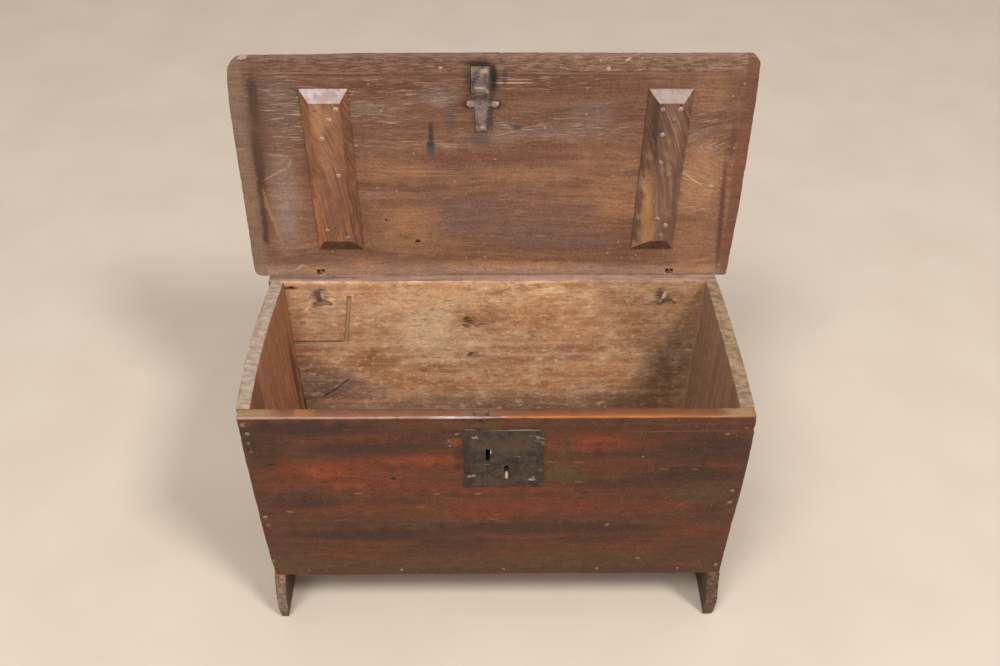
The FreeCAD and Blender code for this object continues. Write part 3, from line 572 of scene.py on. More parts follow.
def back_dry():
    """The back board: bare inside with water stains, knots and hinge marks, waxed outside."""
    m = Finish("back_dry", "x", "z")
    m.grain(shift=40)
    m.colour = m.mix(m.step(m.bands, 0.36, 0.64), (158, 112, 80), (182, 140, 106))
    # Pale, dusty places, in the middle and along the top.
    m.paint((192, 160, 128), (-118, 392, 60, 60, 0.8), (-90, 350, 60, 40, 0.6), (-160, 330, 40, 40, 0.4),
            (-190, 440, 60, 24, 0.35), (-35, 372, 30, 34, 0.5))
    m.paint((200, 162, 122), (-2, 485, 34, 9, 0.8), (94, 480, 30, 11, 0.9), (152, 474, 24, 8, 0.8),
            (224, 484, 26, 9, 0.8), (-110, 480, 60, 8, 0.4), (30, 462, 28, 14, 0.6),
            (255, 478, 24, 10, 0.7), (-60, 470, 30, 8, 0.5))
    # Orange stretches, then brown ones.
    m.paint((166, 116, 78), (114, 413, 80, 22, 0.7), (40, 440, 90, 12, 0.5), (170, 380, 90, 14, 0.5),
            (-259, 458, 40, 14, 0.6), (-175, 268, 50, 18, 0.7), (90, 270, 60, 20, 0.6),
            (190, 300, 60, 20, 0.5), (250, 420, 30, 30, 0.5))
    m.paint((134, 88, 60), (-223, 320, 42, 20, 0.8), (-20, 420, 46, 18, 0.6), (30, 318, 60, 8, 0.7),
            (120, 322, 70, 7, 0.6), (-130, 300, 40, 10, 0.3), (0, 395, 30, 8, 0.5), (160, 345, 60, 5, 0.5),
            (40, 350, 50, 5, 0.4))
    # Greyer and darker low down and towards the corners, and the paler wood of the till.
    m.paint((112, 92, 84), (-300, 258, 66, 34, 0.9), (-340, 250, 22, 60, 0.6), (-245, 240, 50, 22, 0.6),
            (-9, 212, 150, 18, 0.6), (-150, 205, 120, 12, 0.5), (330, 330, 26, 90, 0.3),
            (150, 210, 90, 18, 0.5), (-330, 262, 34, 60, 0.5))
    m.paint((160, 134, 112), (-300, 440, 50, 44, 0.4), (-308, 382, 34, 14, 0.4))
    # Painted shade at the right end and low down, where the right end board's shadow falls.
    m.paint((112, 88, 76), (300, 262, 40, 80, 0.45), (250, 220, 80, 30, 0.6), (120, 200, 120, 18, 0.4))
    # Clouds and mottling, dark and pale.
    m.coat(m.step(m.noise((70, 46, 46), 5, 0.7, None, 73), 0.5, 0.62, 0.4), (150, 104, 70))
    m.coat(m.step(m.noise((60, 42, 42), 5, 0.7, None, 79), 0.5, 0.62, 0.35), (190, 160, 130))
    m.coat(m.step(m.noise((17, 10, 10), 6, 0.76, None, 71), 0.52, 0.64, 0.6), (204, 174, 140))
    m.coat(m.step(m.noise((21, 10, 10), 6, 0.76, None, 77), 0.53, 0.65, 0.65), (126, 84, 58))
    # Painted light and shade: lighter above, and less so towards the right end, which lies in the right end
    # board's shadow.
    painted_light = m.step(m.z, 180, 270, 0.42) * m.step(m.x + m.z * 0.5, 460, 360)
    m.figure(0.15, 0.6, 0.9, 1.0, painted_light + 1.0)
    m.coat(m.step(m.pores, 0.59, 0.69, 0.5), (92, 62, 44))
    # Rough streaks of the saw, and scratches at the right.
    pale = m.step(m.noise((26, 2.0, 2), 2, 0.5, m.flow, 81), 0.6, 0.68)
    m.coat(pale * m.spots((44, 358, 70, 8, 1.0), (141, 364, 60, 8, 0.9), (100, 340, 110, 30, 0.6),
                          (284, 361, 50, 8, 0.8), (200, 345, 90, 20, 0.4), (90, 300, 90, 20, 0.5)),
           (208, 182, 156))
    m.paint((176, 150, 126), (318, 330, 5, 24, 0.6, 4), (330, 318, 4, 30, 0.7), (305, 352, 4, 18, 0.5),
            (340, 345, 5, 30, 0.5), (324, 380, 22, 3, 0.5), edge=0.4)
    # Fresh chips.
    m.paint((196, 160, 118), (-42, 330, 9, 5, 0.9, 60), (-34, 340, 6, 3, 0.8, 30),
            (-50, 342, 6, 3, 0.7, -40), (-82, 336, 5, 7, 0.6), (270, 460, 16, 7, 0.7, -50))
    # Knots.
    m.paint((44, 32, 27), (-48, 412, 5, 10, 0.9, 20), (-52, 402, 8, 3, 0.8, -20), (-46, 334, 5, 8, 0.9),
            (-34, 330, 3, 6, 0.7), (-84, 344, 7, 2, 0.5), (-30, 404, 10, 4, 0.5), edge=0.6)
    # Stains round the hinges' tails, and scars beside them.
    m.paint((86, 68, 62), (-302, 470, 10, 16, 0.9), (-306, 452, 9, 9, 0.7), (284, 470, 9, 12, 0.9),
            (294, 458, 8, 8, 0.9), (282, 452, 14, 5, 0.7), edge=0.6)
    m.paint((206, 178, 146), (-296, 468, 3, 9, 0.8, 10), (-309, 456, 3, 4, 0.7), (291, 468, 3, 8, 0.9, -12),
            clean=True)
    # A crack, painted shade in the till's pivot hole, and the lower edge of its groove, rubbed, with a
    # painted highlight.
    m.paint((24, 18, 16), (-311, 236, 13, 1.2, 1.0, 38), (-293, 250, 12, 1.2, 1.0, 38),
            (-276, 267, 13, 1.0, 0.9, 46), (-350, 486, 12, 3, 0.8), clean=True)
    m.paint((196, 168, 142), (-306, 356.4, 48, 1.1, 0.8), clean=True, edge=0.3)
    # Painted light on the floors and upward walls of the grooves, which lie in shade, painted shade in the
    # lower left corner, and a pale line at the right end.
    m.coat(m.step(m.y, BACK_INNER + 1.5, BACK_INNER + 3.2, 0.8) * m.facing(0, -1, 0, 0.4, 0.8),
           (196, 156, 112))
    lip = m.facing(0, 0, 1, 0.3, 0.7) * m.step(m.z, 485, 470)
    m.coat(lip * 0.9, (226, 200, 172))
    m.coat(m.step(m.x + m.z * 0.04, -344.5, -347.5, 0.8), (52, 38, 32))
    m.coat(m.step(m.x - m.z * 0.004, 351.5, 354.5, 0.7) * m.facing(0, -1, 0, 0.4, 0.8), (168, 138, 112))
    # The upper edge.
    rim = m.mix(m.step(m.bands, 0.4, 0.6), (118, 92, 80), (146, 120, 106))
    m.coat(m.facing(0, 0, 1, 0.75, 0.95), m.figured(rim, 0.4, 1.2, 0.9, 0.8))
    # The outer face and the ends are waxed.
    outer = m.figured(waxed(m, (100, 70, 52), (84, 60, 46)), 0.1, 0.5, 0.9, 0.9)
    ends = m.facing(1, 0, 0, 0.4, 0.8).most(m.facing(-1, 0, 0, 0.4, 0.8))
    m.coat(m.facing(0, 1, 0, 0.3, 0.7).most(ends), outer)
    rough = (m.mottle - 0.5) * 0.3 + 0.66
    return m.finish(rough, relief(m), 0.55, specular=0.22)


def end_wood(side, way, inside, dark, rim_shades, shift):
    """An end board: vertical grain, dry inside, waxed outside, rough grey end grain on rim and foot."""
    m = Finish(f"{side}_end_wood", "z", "y")
    m.grain(shift=shift, sway=30)
    m.colour = m.mix(m.step(m.bands, 0.32, 0.68), dark, inside)
    # Small dark and pale clouds, then a few long marks.
    m.coat(m.step(m.noise((22, 8, 12), 6, 0.75, m.flow, shift + 61), 0.5, 0.68, 0.5),
           [c * 0.7 for c in dark])
    m.coat(m.step(m.noise((18, 7, 12), 6, 0.75, m.flow, shift + 67), 0.54, 0.7, 0.5),
           [min(230, c * 1.3) for c in inside])
    if side == 'left':
        m.paint((184, 142, 108), (344, 246, 20, 3.0, 0.9, -6), (330, 236, 12, 2.0, 0.8),
                (430, 200, 40, 2.0, 0.4, 5), (470, 120, 26, 2.0, 0.4))
        m.paint((88, 62, 48), (460, 70, 60, 30, 0.5), (300, 300, 90, 14, 0.7))
    else:
        m.paint((150, 120, 98), (430, 175, 44, 2.0, 0.7, 3), (455, 130, 36, 1.8, 0.6),
                (410, 240, 44, 2.0, 0.6, -4), (470, 90, 24, 2.0, 0.6), (400, 290, 50, 2.0, 0.5))
    # Painted shade: much darker below the foot height, on the inner faces of the feet and under the arch.
    m.figure(0.2, 0.8, 0.7, 0.7, 1.0 - m.step(m.z, FOOT_HEIGHT + 6, FOOT_HEIGHT - 12, 0.8))
    outer = m.figured(waxed(m), 0.15, 0.6, 0.8, 0.9, 0.8)
    m.coat(m.facing(way, 0, 0, 0.3, 0.7), outer)
    # The end grain of the rim, grey and chipped.
    grey = m.mix(m.step(m.noise((14, 9, 6), 5, 0.7, m.place, shift + 91), 0.32, 0.68), rim_shades[0],
                 rim_shades[1])
    grey = m.shade(grey, (m.speck - 0.5) * 0.4 + (m.noise((3, 30, 3), 4, 0.6, m.place, shift + 5) - 0.5)
                   * 0.3 + 1.0)
    chips = m.scattered((7, 11, 7), 0.25, 0.24, shift)
    grey = m.mix(chips * (0.2 if side == "left" else 0.4), grey, (196, 178, 150))
    arris = m.rounded() * m.step(m.z, RIM - 14, RIM - 3) * m.step(m.mottle, 0.44, 0.58, 0.7)
    m.coat(arris, (150, 124, 96))
    m.coat(m.facing(0, 0, 1, 0.6, 0.9) * m.step(m.z, RIM - 30, RIM - 20), grey)
    # The front edge of the foot.
    foot = m.facing(0, -1, 0, 0.25, 0.75) * m.step(m.z, FOOT_HEIGHT + 12, FOOT_HEIGHT - 2)
    worn_foot = m.mix(m.step(m.noise((8, 5, 5), 4, 0.7, m.place, shift + 95), 0.42, 0.58), rim_shades[2],
                      rim_shades[3])
    worn_foot = m.shade(worn_foot, (m.speck - 0.5) * 0.9 + (m.streaks - 0.5) * 0.5 + 1.0)
    worn_foot = m.mix(m.spots((6, 0, 12, 40, 0.8)), worn_foot, (84, 64, 52))
    m.coat(foot, worn_foot)
    return m.finish((m.mottle - 0.5) * 0.3 + 0.64, relief(m), 0.55, specular=0.22)


def lid_underside():
    """The lid: dry and scratched underneath with iron stains, waxed dark on top."""
    m = Finish("lid_oak", "x", "s", lid=True)
    apart = m.across - 229.0
    sign = m.step(apart, -12, 12, 2.0) - 1.0
    near = m.step(abs(apart), 95, 20)
    run = m.step(m.x, 285, 385, 34.0)
    m.grain(shift=80, bend=run * sign * near * -1.0, rag=(16, 30))
    m.colour = m.mix(m.step(m.bands, 0.36, 0.64), (119, 80, 59), (135, 95, 71))
    # Red stretches, then grey worn ones, yellow ones and dull ones.
    m.paint((112, 66, 48), (-161, 339, 90, 9, 0.8), (-70, 346, 50, 8, 0.6), (66, 338, 70, 14, 0.6),
            (-60, 300, 80, 12, 0.4), (150, 335, 110, 12, 0.5), (160, 296, 90, 10, 0.4),
            (0, 222, 130, 9, 0.5), (60, 240, 60, 8, 0.6), (-366, 300, 7, 60, 0.6), (-302, 200, 9, 70, 0.5),
            (220, 60, 30, 60, 0.4), (270, 120, 26, 60, 0.5))
    m.paint((146, 122, 112), (-335, 303, 30, 58, 0.4), (-362, 318, 26, 34, 0.2), (-89, 320, 26, 14, 0.6),
            (-200, 300, 50, 12, 0.4), (152, 292, 34, 22, 0.4), (-345, 150, 24, 90, 0.6),
            (12, 262, 26, 20, 0.4), (100, 262, 70, 14, 0.4), (-20, 330, 16, 30, 0.3))
    m.paint((164, 116, 80), (332, 190, 34, 60, 0.8), (200, 150, 54, 38, 0.4), (177, 217, 60, 24, 0.3),
            (-135, 102, 54, 34, 0.6), (-130, 60, 70, 16, 0.4), (28, 21, 110, 8, 0.6),
            (330, 330, 30, 30, 0.5), (-170, 200, 60, 22, 0.4), (60, 190, 90, 16, 0.4),
            (330, 60, 34, 40, 0.4), (-240, 24, 60, 10, 0.5))
    m.paint((114, 84, 76), (-42, 112, 66, 34, 0.7), (58, 86, 74, 28, 0.7), (150, 70, 60, 22, 0.5),
            (-90, 140, 40, 18, 0.4), (110, 120, 70, 12, 0.5), (-300, 28, 60, 16, 0.4),
            (300, 262, 50, 20, 0.3))
    # Small dark and pale clouds.
    m.coat(m.step(m.noise((40, 8, 8), 5, 0.7, m.flow, 61), 0.53, 0.68, 0.5), (104, 68, 52))
    m.coat(m.step(m.noise((34, 7, 7), 5, 0.7, m.flow, 67), 0.54, 0.68, 0.4), (160, 122, 98))
    upper = m.step(m.across, 110, 320, 0.26) + m.step(m.x, -180, -300, 0.09) * m.step(m.across, 180, 260)
    m.coat(m.step(m.across, 30, 10, 0.4), (186, 152, 128))
    m.figure(0.15, 0.9, 0.6, 1.3, 0.92 - upper)
    m.coat(m.step(m.pores, 0.6, 0.7, 0.4), (70, 46, 36))
    # Rough streaks of the saw, pale and dark; the pale ones are partly a painted sheen on the raised grain.
    sawn_streaks_and_sheen = m.step(m.noise((30, 1.2, 2), 3, 0.6, m.flow, 85), 0.56, 0.66)
    where = m.spots((-335, 300, 70, 66, 1.0), (-190, 283, 80, 10, 0.9), (-115, 243, 110, 8, 0.9),
                    (-150, 325, 130, 34, 0.6), (60, 346, 90, 14, 0.8), (0, 268, 80, 30, 0.6),
                    (-60, 320, 60, 40, 0.6), (110, 270, 110, 22, 0.7), (262, 262, 60, 20, 0.5),
                    (325, 225, 48, 100, 0.8), (0, 372, 400, 12, 0.6), (-136, 193, 60, 8, 0.5),
                    (60, 180, 120, 20, 0.3))
    m.coat(sawn_streaks_and_sheen * where, (176, 148, 130))
    dents = m.step(m.noise((26, 1.8, 2), 2, 0.55, m.flow, 95), 0.58, 0.66, 0.8)
    m.coat(dents * m.spots((-335, 318, 76, 44, 1.0), (-150, 340, 140, 22, 0.8), (70, 348, 110, 14, 0.8),
                           (0, 290, 120, 40, 0.5), (0, 374, 400, 12, 0.7)), (66, 42, 36))
    # The strip along the front edge, beyond a scribed line.
    beyond = m.step(m.across, 359.0, 362.0)
    fleck = m.noise((19, 2.6, 4), 5, 0.7, None, 99)
    lighter = m.step(m.x + (m.mottle - 0.5) * 300, -60, 160)
    edge_strip = m.mix(m.step(fleck, 0.42, 0.58), m.mix(lighter, (84, 54, 42), (92, 68, 52)),
                       m.mix(lighter, (124, 92, 74), (146, 112, 90)))
    m.coat(beyond * 0.7, m.figured(edge_strip, 0.2, 1.2, 0.8, 1.0))
    m.paint((150, 106, 92), (-270, 359.5, 110, 1.6, 0.4), (180, 359.5, 200, 1.3, 0.2), clean=True)
    m.paint((66, 43, 36), (180, 361.6, 210, 1.3, 0.5), (-60, 356.4, 330, 1.6, 0.4), clean=True)
    # The strip along the left end, with its stains and scratches.
    margin = m.step(m.x + (m.mottle - 0.5) * 14, -383, -391)
    m.coat(margin * 0.75, m.figured((118, 94, 78), 0.2, 1.4, 0.8, 1.0))
    m.paint((40, 26, 22), (-374, 312, 7.5, 46, 0.9), (-378, 216, 8, 58, 1.0), (-379, 165, 7, 26, 1.0),
            (-382, 110, 4.5, 44, 0.95), (-383, 74, 5.5, 12, 0.9), edge=0.5)
    m.paint((88, 60, 46), (-372, 250, 17, 92, 0.65), (-378, 120, 12, 60, 0.6), edge=0.8)
    m.paint((170, 120, 84), (-368, 110, 2.4, 42, 0.5, 13), (-376, 150, 2, 16, 0.5), edge=0.6)
    m.paint((160, 126, 108), (-354, 192, 22, 1.4, 0.7, 29), (-330, 209, 9, 1.4, 0.6, 68),
            (-346, 224, 18, 1.2, 0.5, -8), clean=True)
    # Painted shade round the keeper, in its recesses, then black and blue iron stains to its left.
    m.paint((42, 30, 28), (-21, 348, 25, 31, 0.85), (-20, 309, 31, 10, 0.8), (-19, 288, 17, 26, 0.6),
            edge=0.35, clean=True)
    m.paint((62, 60, 66), (-103, 236, 7, 13, 0.9), (-70, 292, 10, 30, 0.35), (34, 271, 8, 4, 0.9),
            (-24, 250, 20, 12, 0.5), edge=0.5, clean=True)
    m.paint((48, 32, 28), (-102, 262, 4, 17, 0.8), (-103, 244, 6, 5, 0.7), clean=True)
    # Scratches and chips.
    m.paint((168, 114, 74), (-136, 196, 52, 1.4, 0.5), (-120, 188, 60, 1.2, 0.35),
            (-150, 204, 40, 1.1, 0.3), (334, 12, 40, 3, 0.8), (-300, 8, 16, 8, 0.8), (298, 8, 14, 8, 0.8),
            (-318, 14, 12, 4, 0.6), (350, 30, 18, 2.5, 0.6, 8), clean=True)
    m.paint((184, 150, 122), (25, 344, 34, 1.2, 0.8), (34, 349, 22, 1.0, 0.5), (19, 262, 16, 1.1, 0.4, 14),
            (62, 274, 24, 0.9, 0.25, 12), (110, 286, 20, 0.9, 0.2, 6), (66, 250, 18, 1.0, 0.25, 4),
            (-383, 382, 7, 1.6, 0.7, 8), (201, 381, 5, 1.8, 0.8, 30), (172, 367, 3, 3, 0.9),
            (-333, 18, 8, 1.8, 0.8, 40), (-325, 20, 6, 1.2, 0.6, -30), (-221, 241, 3, 1.6, 0.6),
            (-100, 370, 7, 1.2, 0.4), (-84, 368, 3, 2, 0.8), (322, 180, 18, 1.4, 0.7, -34),
            (300, 196, 16, 1.2, 0.6, -32), (352, 170, 3, 2, 0.9), (-404, 235, 10, 0.8, 0.4), clean=True,
            edge=0.4)
    # A dark line and the red strip along the right end.
    right_line = m.spots((375, 112, 106, 4.5, 0.9, -87), (377, 250, 34, 5, 0.7, -90), edge=0.6)
    m.coat(right_line, (84, 47, 37))
    m.coat(m.step(m.x + (m.mottle - 0.5) * 14, 380, 388, 0.75), m.figured((98, 60, 43), 0.2, 1.2, 1.2, 0.8))
    # Holes and the shade round the keeper.
    m.paint((28, 20, 17), (-130, 68, 4.5, 3.0, 0.95), (-181, 108, 2.2, 2.2, 0.8), (-26, 374.5, 22, 3, 0.9),
            (-3, 352, 5, 18, 0.85), (14, 352, 4, 12, 0.5), clean=True)
    # Where the hinge notches are rusty.
    in_notch = (m.step(abs(abs(m.x) - HINGE_X[1]), 7.4, 6.8) * m.step(m.across, 14.4, 13.6)
                * m.step(m.across, 0.2, 0.8))
    notch_rust = in_notch * m.step(m.z, LID_Z + 0.2, LID_Z + 0.7) * m.step(m.z, LID_Z + 9.8, LID_Z + 9.3)
    # Flecks and rubbed arrises.
    flecks = m.scattered((16, 16, 12), 0.22, 0.13, 3)
    m.coat(flecks * 0.45, (190, 156, 128))
    m.coat(m.rounded() * m.step(m.mottle, 0.46, 0.62, 0.6), (150, 120, 98))
    # The upper face is waxed, the ends are dull.
    top = m.figured(waxed(m, (106, 67, 47), (90, 59, 44), (118, 64, 42)), 0.1, 0.5, 0.9, 0.9)
    m.coat(m.facing(0, 0, 1, 0.2, 0.6), top)
    ends = m.figured(m.mix(m.step(m.mottle, 0.4, 0.6), (92, 70, 54), (132, 108, 86)), 0.2, 1.0, 0.6, 0.9)
    m.coat(m.facing(1, 0, 0, 0.5, 0.8).most(m.facing(-1, 0, 0, 0.5, 0.8)), ends)
    m.coat(notch_rust, (150, 104, 70))
    rough = (m.mottle - 0.5) * 0.4 + 0.6
    return m.finish(rough, relief(m) + sawn_streaks_and_sheen * where * 0.5, 0.5, specular=0.3)


def cleat_oak(side, light, mid, dark, shift):
    """A cleat: the grain runs down it and swings out at the top, the arrises are rubbed and the chamfers
    have painted glare and shade.
    """
    m = Finish(f"{side}_cleat_oak", "s", "x", lid=True)
    swing = (m.along - 150.0).most(0.0)
    m.grain(0.8, shift, 12, m.along * 0.1 + swing * swing * (0.25 / 180))
    rings = m.noise((120, 2.0 if side == "left" else 3.4, 20), 4, 0.6, m.flow, shift + 31)
    depth = 0.75 if side == "left" else m.step(m.along, 150, 260, 0.4) + 0.4
    m.colour = m.mix(m.step(rings, 0.58, 0.42) * depth, mid, dark)
    m.coat(m.step(m.mottle + (rings - 0.5) * 0.6, 0.5, 0.7, 0.5), light)
    if side == 'left':
        m.paint((170, 122, 86), (290, -276, 30, 9, 0.7), (296, -262, 14, 16, 0.4), (120, -290, 60, 4, 0.5))
        m.paint((112, 72, 52), (230, -240, 60, 8, 0.4), (150, -256, 40, 14, 0.3))
        m.paint((186, 120, 66), (110, -292, 60, 4, 0.8), (150, -288, 40, 3, 0.5))
    else:
        m.paint((174, 128, 84), (134, 247, 56, 8, 0.95), (86, 250, 32, 13, 0.8), (104, 262, 46, 4, 0.4))
        m.paint((70, 48, 40), (290, 250, 50, 8, 0.7), (236, 254, 12, 4, 0.7))
    # Painted light and shade on the two long chamfers: the one facing +x darker, and on the left cleat the
    # one facing -x lighter.
    chamfer_light_and_shade = (m.facing(1, 0, 0, 0.2, 0.4) * 0.05 - m.facing(-1, 0, 0, 0.2, 0.4)
              * (0.08 if side == "left" else 0.0))
    m.figure(0.15, 0.7, 0.6, 0.5, 0.85 - chamfer_light_and_shade)
    m.coat(m.step(m.pores, 0.58, 0.68, 0.4), [c * 0.6 for c in dark])
    m.coat(m.rounded(0.05, 0.2) * m.facing(0, 0, -1, 0.75, 0.9) * m.step(m.mottle, 0.45, 0.6, 0.5),
           (188, 144, 112))
    # The chamfer at the front end gets a painted glare, pale, and the one at the rear end a painted shade,
    # dark.
    high = m.facing(0, -1, 0, 0.35, 0.6)
    sheen = ((150, 124, 118), (166, 158, 168)) if side == "left" else ((138, 112, 98), (146, 128, 122))
    glare = m.mix(m.step(m.mottle, 0.4, 0.6), sheen[0], sheen[1])
    m.coat(high * 0.9, m.figured(glare, 0.2, 0.5, 0.5, 0.3))
    low = m.facing(0, 1, 0, 0.2, 0.4)
    m.coat(low * 0.6, (88, 62, 42))
    return m.finish((m.mottle - 0.5) * 0.3 + 0.48, relief(m), 0.45, specular=0.35)


def bottom_dry():
    """The bottom board: bare oak."""
    m = Finish("bottom_dry", "x", "y")
    m.grain(shift=140)
    m.colour = m.mix(m.step(m.bands, 0.38, 0.62), (120, 86, 62), (150, 112, 82))
    m.figure()
    return m.finish(0.75, relief(m), 0.5, specular=0.2)


def iron(name, base, light, rust, rusty=0.4, rough=0.55, lid=False, marks=(), shine=0.4):
    """Hand-forged iron: dark scale, rubbed high spots and rust in the pits."""
    m = Finish(name, "x", "s" if lid else "z", lid)
    broad = m.noise((13, 13, 13), 4, 0.6)
    fine = m.noise((2.6, 2.6, 2.6), 4, 0.65, None, 5.0)
    m.stain = m.face
    m.colour = m.mix(m.step(broad, 0.38, 0.62), base, light)
    m.coat(m.step(fine + (broad - 0.5) * 0.5, 0.56, 0.68, rusty), rust)
    for shade, spots in marks:
        m.paint(shade, *spots)
    pits = m.noise((1.7, 1.7, 1.7), 3, 0.6, None, 9.0)
    m.coat(m.step(pits, 0.58, 0.7, 0.5), [min(220, c * 1.75) for c in light])
    m.colour = m.shade(m.colour, (fine - 0.5) * 1.1 + 0.97)
    m.coat(m.rounded(0.06, 0.3) * m.step(broad, 0.45, 0.6, 0.5), [min(255, c * 1.6) for c in light])
    return m.finish(rough + (fine - 0.5) * 0.4, fine + broad, 0.6, metallic=0.25, specular=shine)


def floor_paint():
    """The floor: pale and all but plain."""
    m = Finish("floor_paint")
    worn_paint = m.noise((240, 240, 240), 4, 0.5)
    m.colour = m.mix(m.step(worn_paint, 0.3, 0.7), (204, 189, 174), (208, 194, 179))
    return m.finish(0.9, specular=0.1)


# ---- chest boards ----
TILL_WIDTH, TILL_FLOOR, TILL_LEAN, TILL_TOP = 99.0, 359.0, 15.0, 468.0
GROOVE_WIDE, GROOVE_DEEP = 8.0, 4.0
TILL_PIVOT, TILL_PIVOT_RADIUS, TILL_PIVOT_DEPTH = (-347.5, 486.0), 4.0, 8.0
ARCH = {"foot": 92.0, "shoulder": (122.0, 48.0), "cusp": (172.5, 76.0)}
SOLE_ROUNDING = 6.0
# The outer face of a foot curves in by the second measure below the height of the first.
SOLE_WEAR = (30.0, 8.0)
# The x of the front board's ends at heights z, as z and x.
FRONT_LEFT = ((FOOT_HEIGHT, -376.5), (150, -376.3), (250, FRONT_LEFT_X + 2.8), (330, FRONT_LEFT_X + 1.3),
              (400, FRONT_LEFT_X), (RIM, FRONT_LEFT_X))
FRONT_RIGHT = ((FOOT_HEIGHT, 380.3), (210, 381.7), (350, 385.0), (430, 385.3), (RIM, 382.4))
FRONT_X = (-382.0, 382.0)
BACK_X = (-386.0, 378.0)
# The rooms in the front board: of the lock's works, its bolt's end, the staple and the older keyhole.
LOCK_ROOMS = (((-24, 56), (-3, 16.5), (403, 474)), ((-35.8, -20), (-3.5, 16.3), (464.3, 474.4)),
              ((-36, -12), (4, 16), (470, RIM + 3)), ((11.5, 17.5), (-4, 16.1), (390.5, 405)))
# The worn corner and the rubbed places of the front board.
FRONT_DENTS = (((-376, 0, FOOT_HEIGHT + 8), 26, 3.0), ((-6, 0, RIM), 26, 1.5), ((40, 0, RIM), 9, 1.2),
               ((384, 0, 250), 9, 1.5))
CUP_Y = 130.0
FOOT_BEND_Z = 50.0
END_BOARDS = {
    "left": {"rim": ((-383.8, -389.3, -378.0), (-364.5, -368.3, -358.0)),
             "waist": (-376.3, -357.5), "foot": (-381.3, -365.0)},
    "right": {"rim": ((381.0, 382.9, 375.6), (361.0, 361.8, 358.5)),
              "waist": (380.3, 359.5), "foot": (386.0, 366.5)}}


def rod(start, end, radius):
    """A round bar between two points, used as a cutter."""
    bm = bmesh.new()
    way = Vector(end) - Vector(start)
    turn = way.to_track_quat("Z", "Y").to_matrix().to_4x4()
    place = Matrix.Translation((Vector(start) + Vector(end)) / 2) @ turn
    bmesh.ops.create_cone(bm, cap_ends=True, segments=20, radius1=radius, radius2=radius, depth=way.length,
                          matrix=place)
    return bm


def till_cutters(inner, way):
    """Trenches and pivot hole of the lost till, in a board whose inner face is at y = inner."""
    y = sorted((inner - way, inner + way * GROOVE_DEEP))
    floor_cut = slab((LEFT_INNER - 3, LEFT_INNER + TILL_WIDTH), y, (TILL_FLOOR, TILL_FLOOR + GROOVE_WIDE))
    side = LEFT_INNER + TILL_WIDTH
    corners = [(side - GROOVE_WIDE, y[0], TILL_FLOOR), (side, y[0], TILL_FLOOR),
               (side + TILL_LEAN, y[0], TILL_TOP), (side + TILL_LEAN - GROOVE_WIDE, y[0], TILL_TOP)]
    side_cut = prism(corners, (0, y[1] - y[0], 0))
    x, z = TILL_PIVOT
    pivot = rod((x, inner - way, z), (x, inner + way * TILL_PIVOT_DEPTH, z), TILL_PIVOT_RADIUS)
    return [floor_cut, side_cut, pivot]


def along_line(points, at):
    """The value at a place on a line of (place, value) points."""
    for (a, first), (b, second) in zip(points, points[1:]):
        if at <= b:
            return first + (second - first) * max(0.0, (at - a) / (b - a))
    return points[-1][1]


def sliced_slab(x, y, z, corners=()):
    """A box cut across every 6 mm; each corner is a point on an edge along z and its radius."""
    bm = slab(x, y, z)
    for point, radius in corners:
        upright = [e for e in bm.edges if all((v.co.xy - Vector(point)).length < 1 for v in e.verts)]
        round_edges(bm, upright, radius, 5)
    for axis, (low, high) in enumerate((x, y, z)):
        slice_along(bm, axis, low, high, SLICE)
    bmesh.ops.remove_doubles(bm, verts=bm.verts, dist=0.5)
    return bm


def stretch(bm, low, high, left, right):
    """Move the ends of a board between x = low and high to the x that left and right give for a point."""
    for v in bm.verts:
        part = (v.co.x - low) / (high - low)
        v.co.x = left(v.co) + (right(v.co) - left(v.co)) * part


def front_board(material):
    """The front board, whose ends lean, with the rooms of the lock and the grooves of the till."""
    bm = sliced_slab(FRONT_X, (0, BOARD), (FOOT_HEIGHT, RIM))
    stretch(bm, *FRONT_X, lambda p: along_line(FRONT_LEFT, p.z), lambda p: along_line(FRONT_RIGHT, p.z))
    rooms = [slab(*room) for room in LOCK_ROOMS]
    bm = worn(bm, dents=FRONT_DENTS, seed=1, cutters=[*rooms, *till_cutters(BOARD, -1)])
    settle(bm, "front_board_oak", material, ["front_board"])


def back_board(material):
    """The back board, notched where the lid's pins turn."""
    bm = sliced_slab(BACK_X, (BACK_INNER, DEPTH), (FOOT_HEIGHT, RIM))
    notches = [rod((x - 2.1, HINGE_Y, HINGE_Z), (x + 2.1, HINGE_Y, HINGE_Z), 5.8) for x in HINGE_X]
    bm = worn(bm, seed=2, cutters=till_cutters(BACK_INNER, 1) + notches)
    settle(bm, "back_board_oak", material, ["back_board"])


def cupped(values, y):
    """The x of a cupped rim at y, from its x in front, at CUP_Y and behind."""
    front, middle, rear = values
    a, b = CUP_Y, DEPTH
    return (front * (y - a) * (y - b) / (a * b) + middle * y * (y - b) / (a * (a - b))
            + rear * y * (y - a) / (b * (b - a)))


def end_face_x(side, face, y, z):
    """The x of an end board's outer (0) or inner (1) face."""
    sizes = END_BOARDS[side]
    waist, foot = sizes["waist"][face], sizes["foot"][face]
    if z >= FOOT_HEIGHT:
        return waist + (cupped(sizes["rim"][face], y) - waist) * (z - FOOT_HEIGHT) / (RIM - FOOT_HEIGHT)
    x = foot + (waist - foot) * max(0.0, (z - FOOT_BEND_Z) / (FOOT_HEIGHT - FOOT_BEND_Z))
    worn_in = 1 - math.sqrt(1 - max(0.0, 1 - z / SOLE_WEAR[0]) ** 2)
    return x + (SOLE_WEAR[1] if face == 0 else -2.0) * worn_in * (1 if side == "left" else -1)


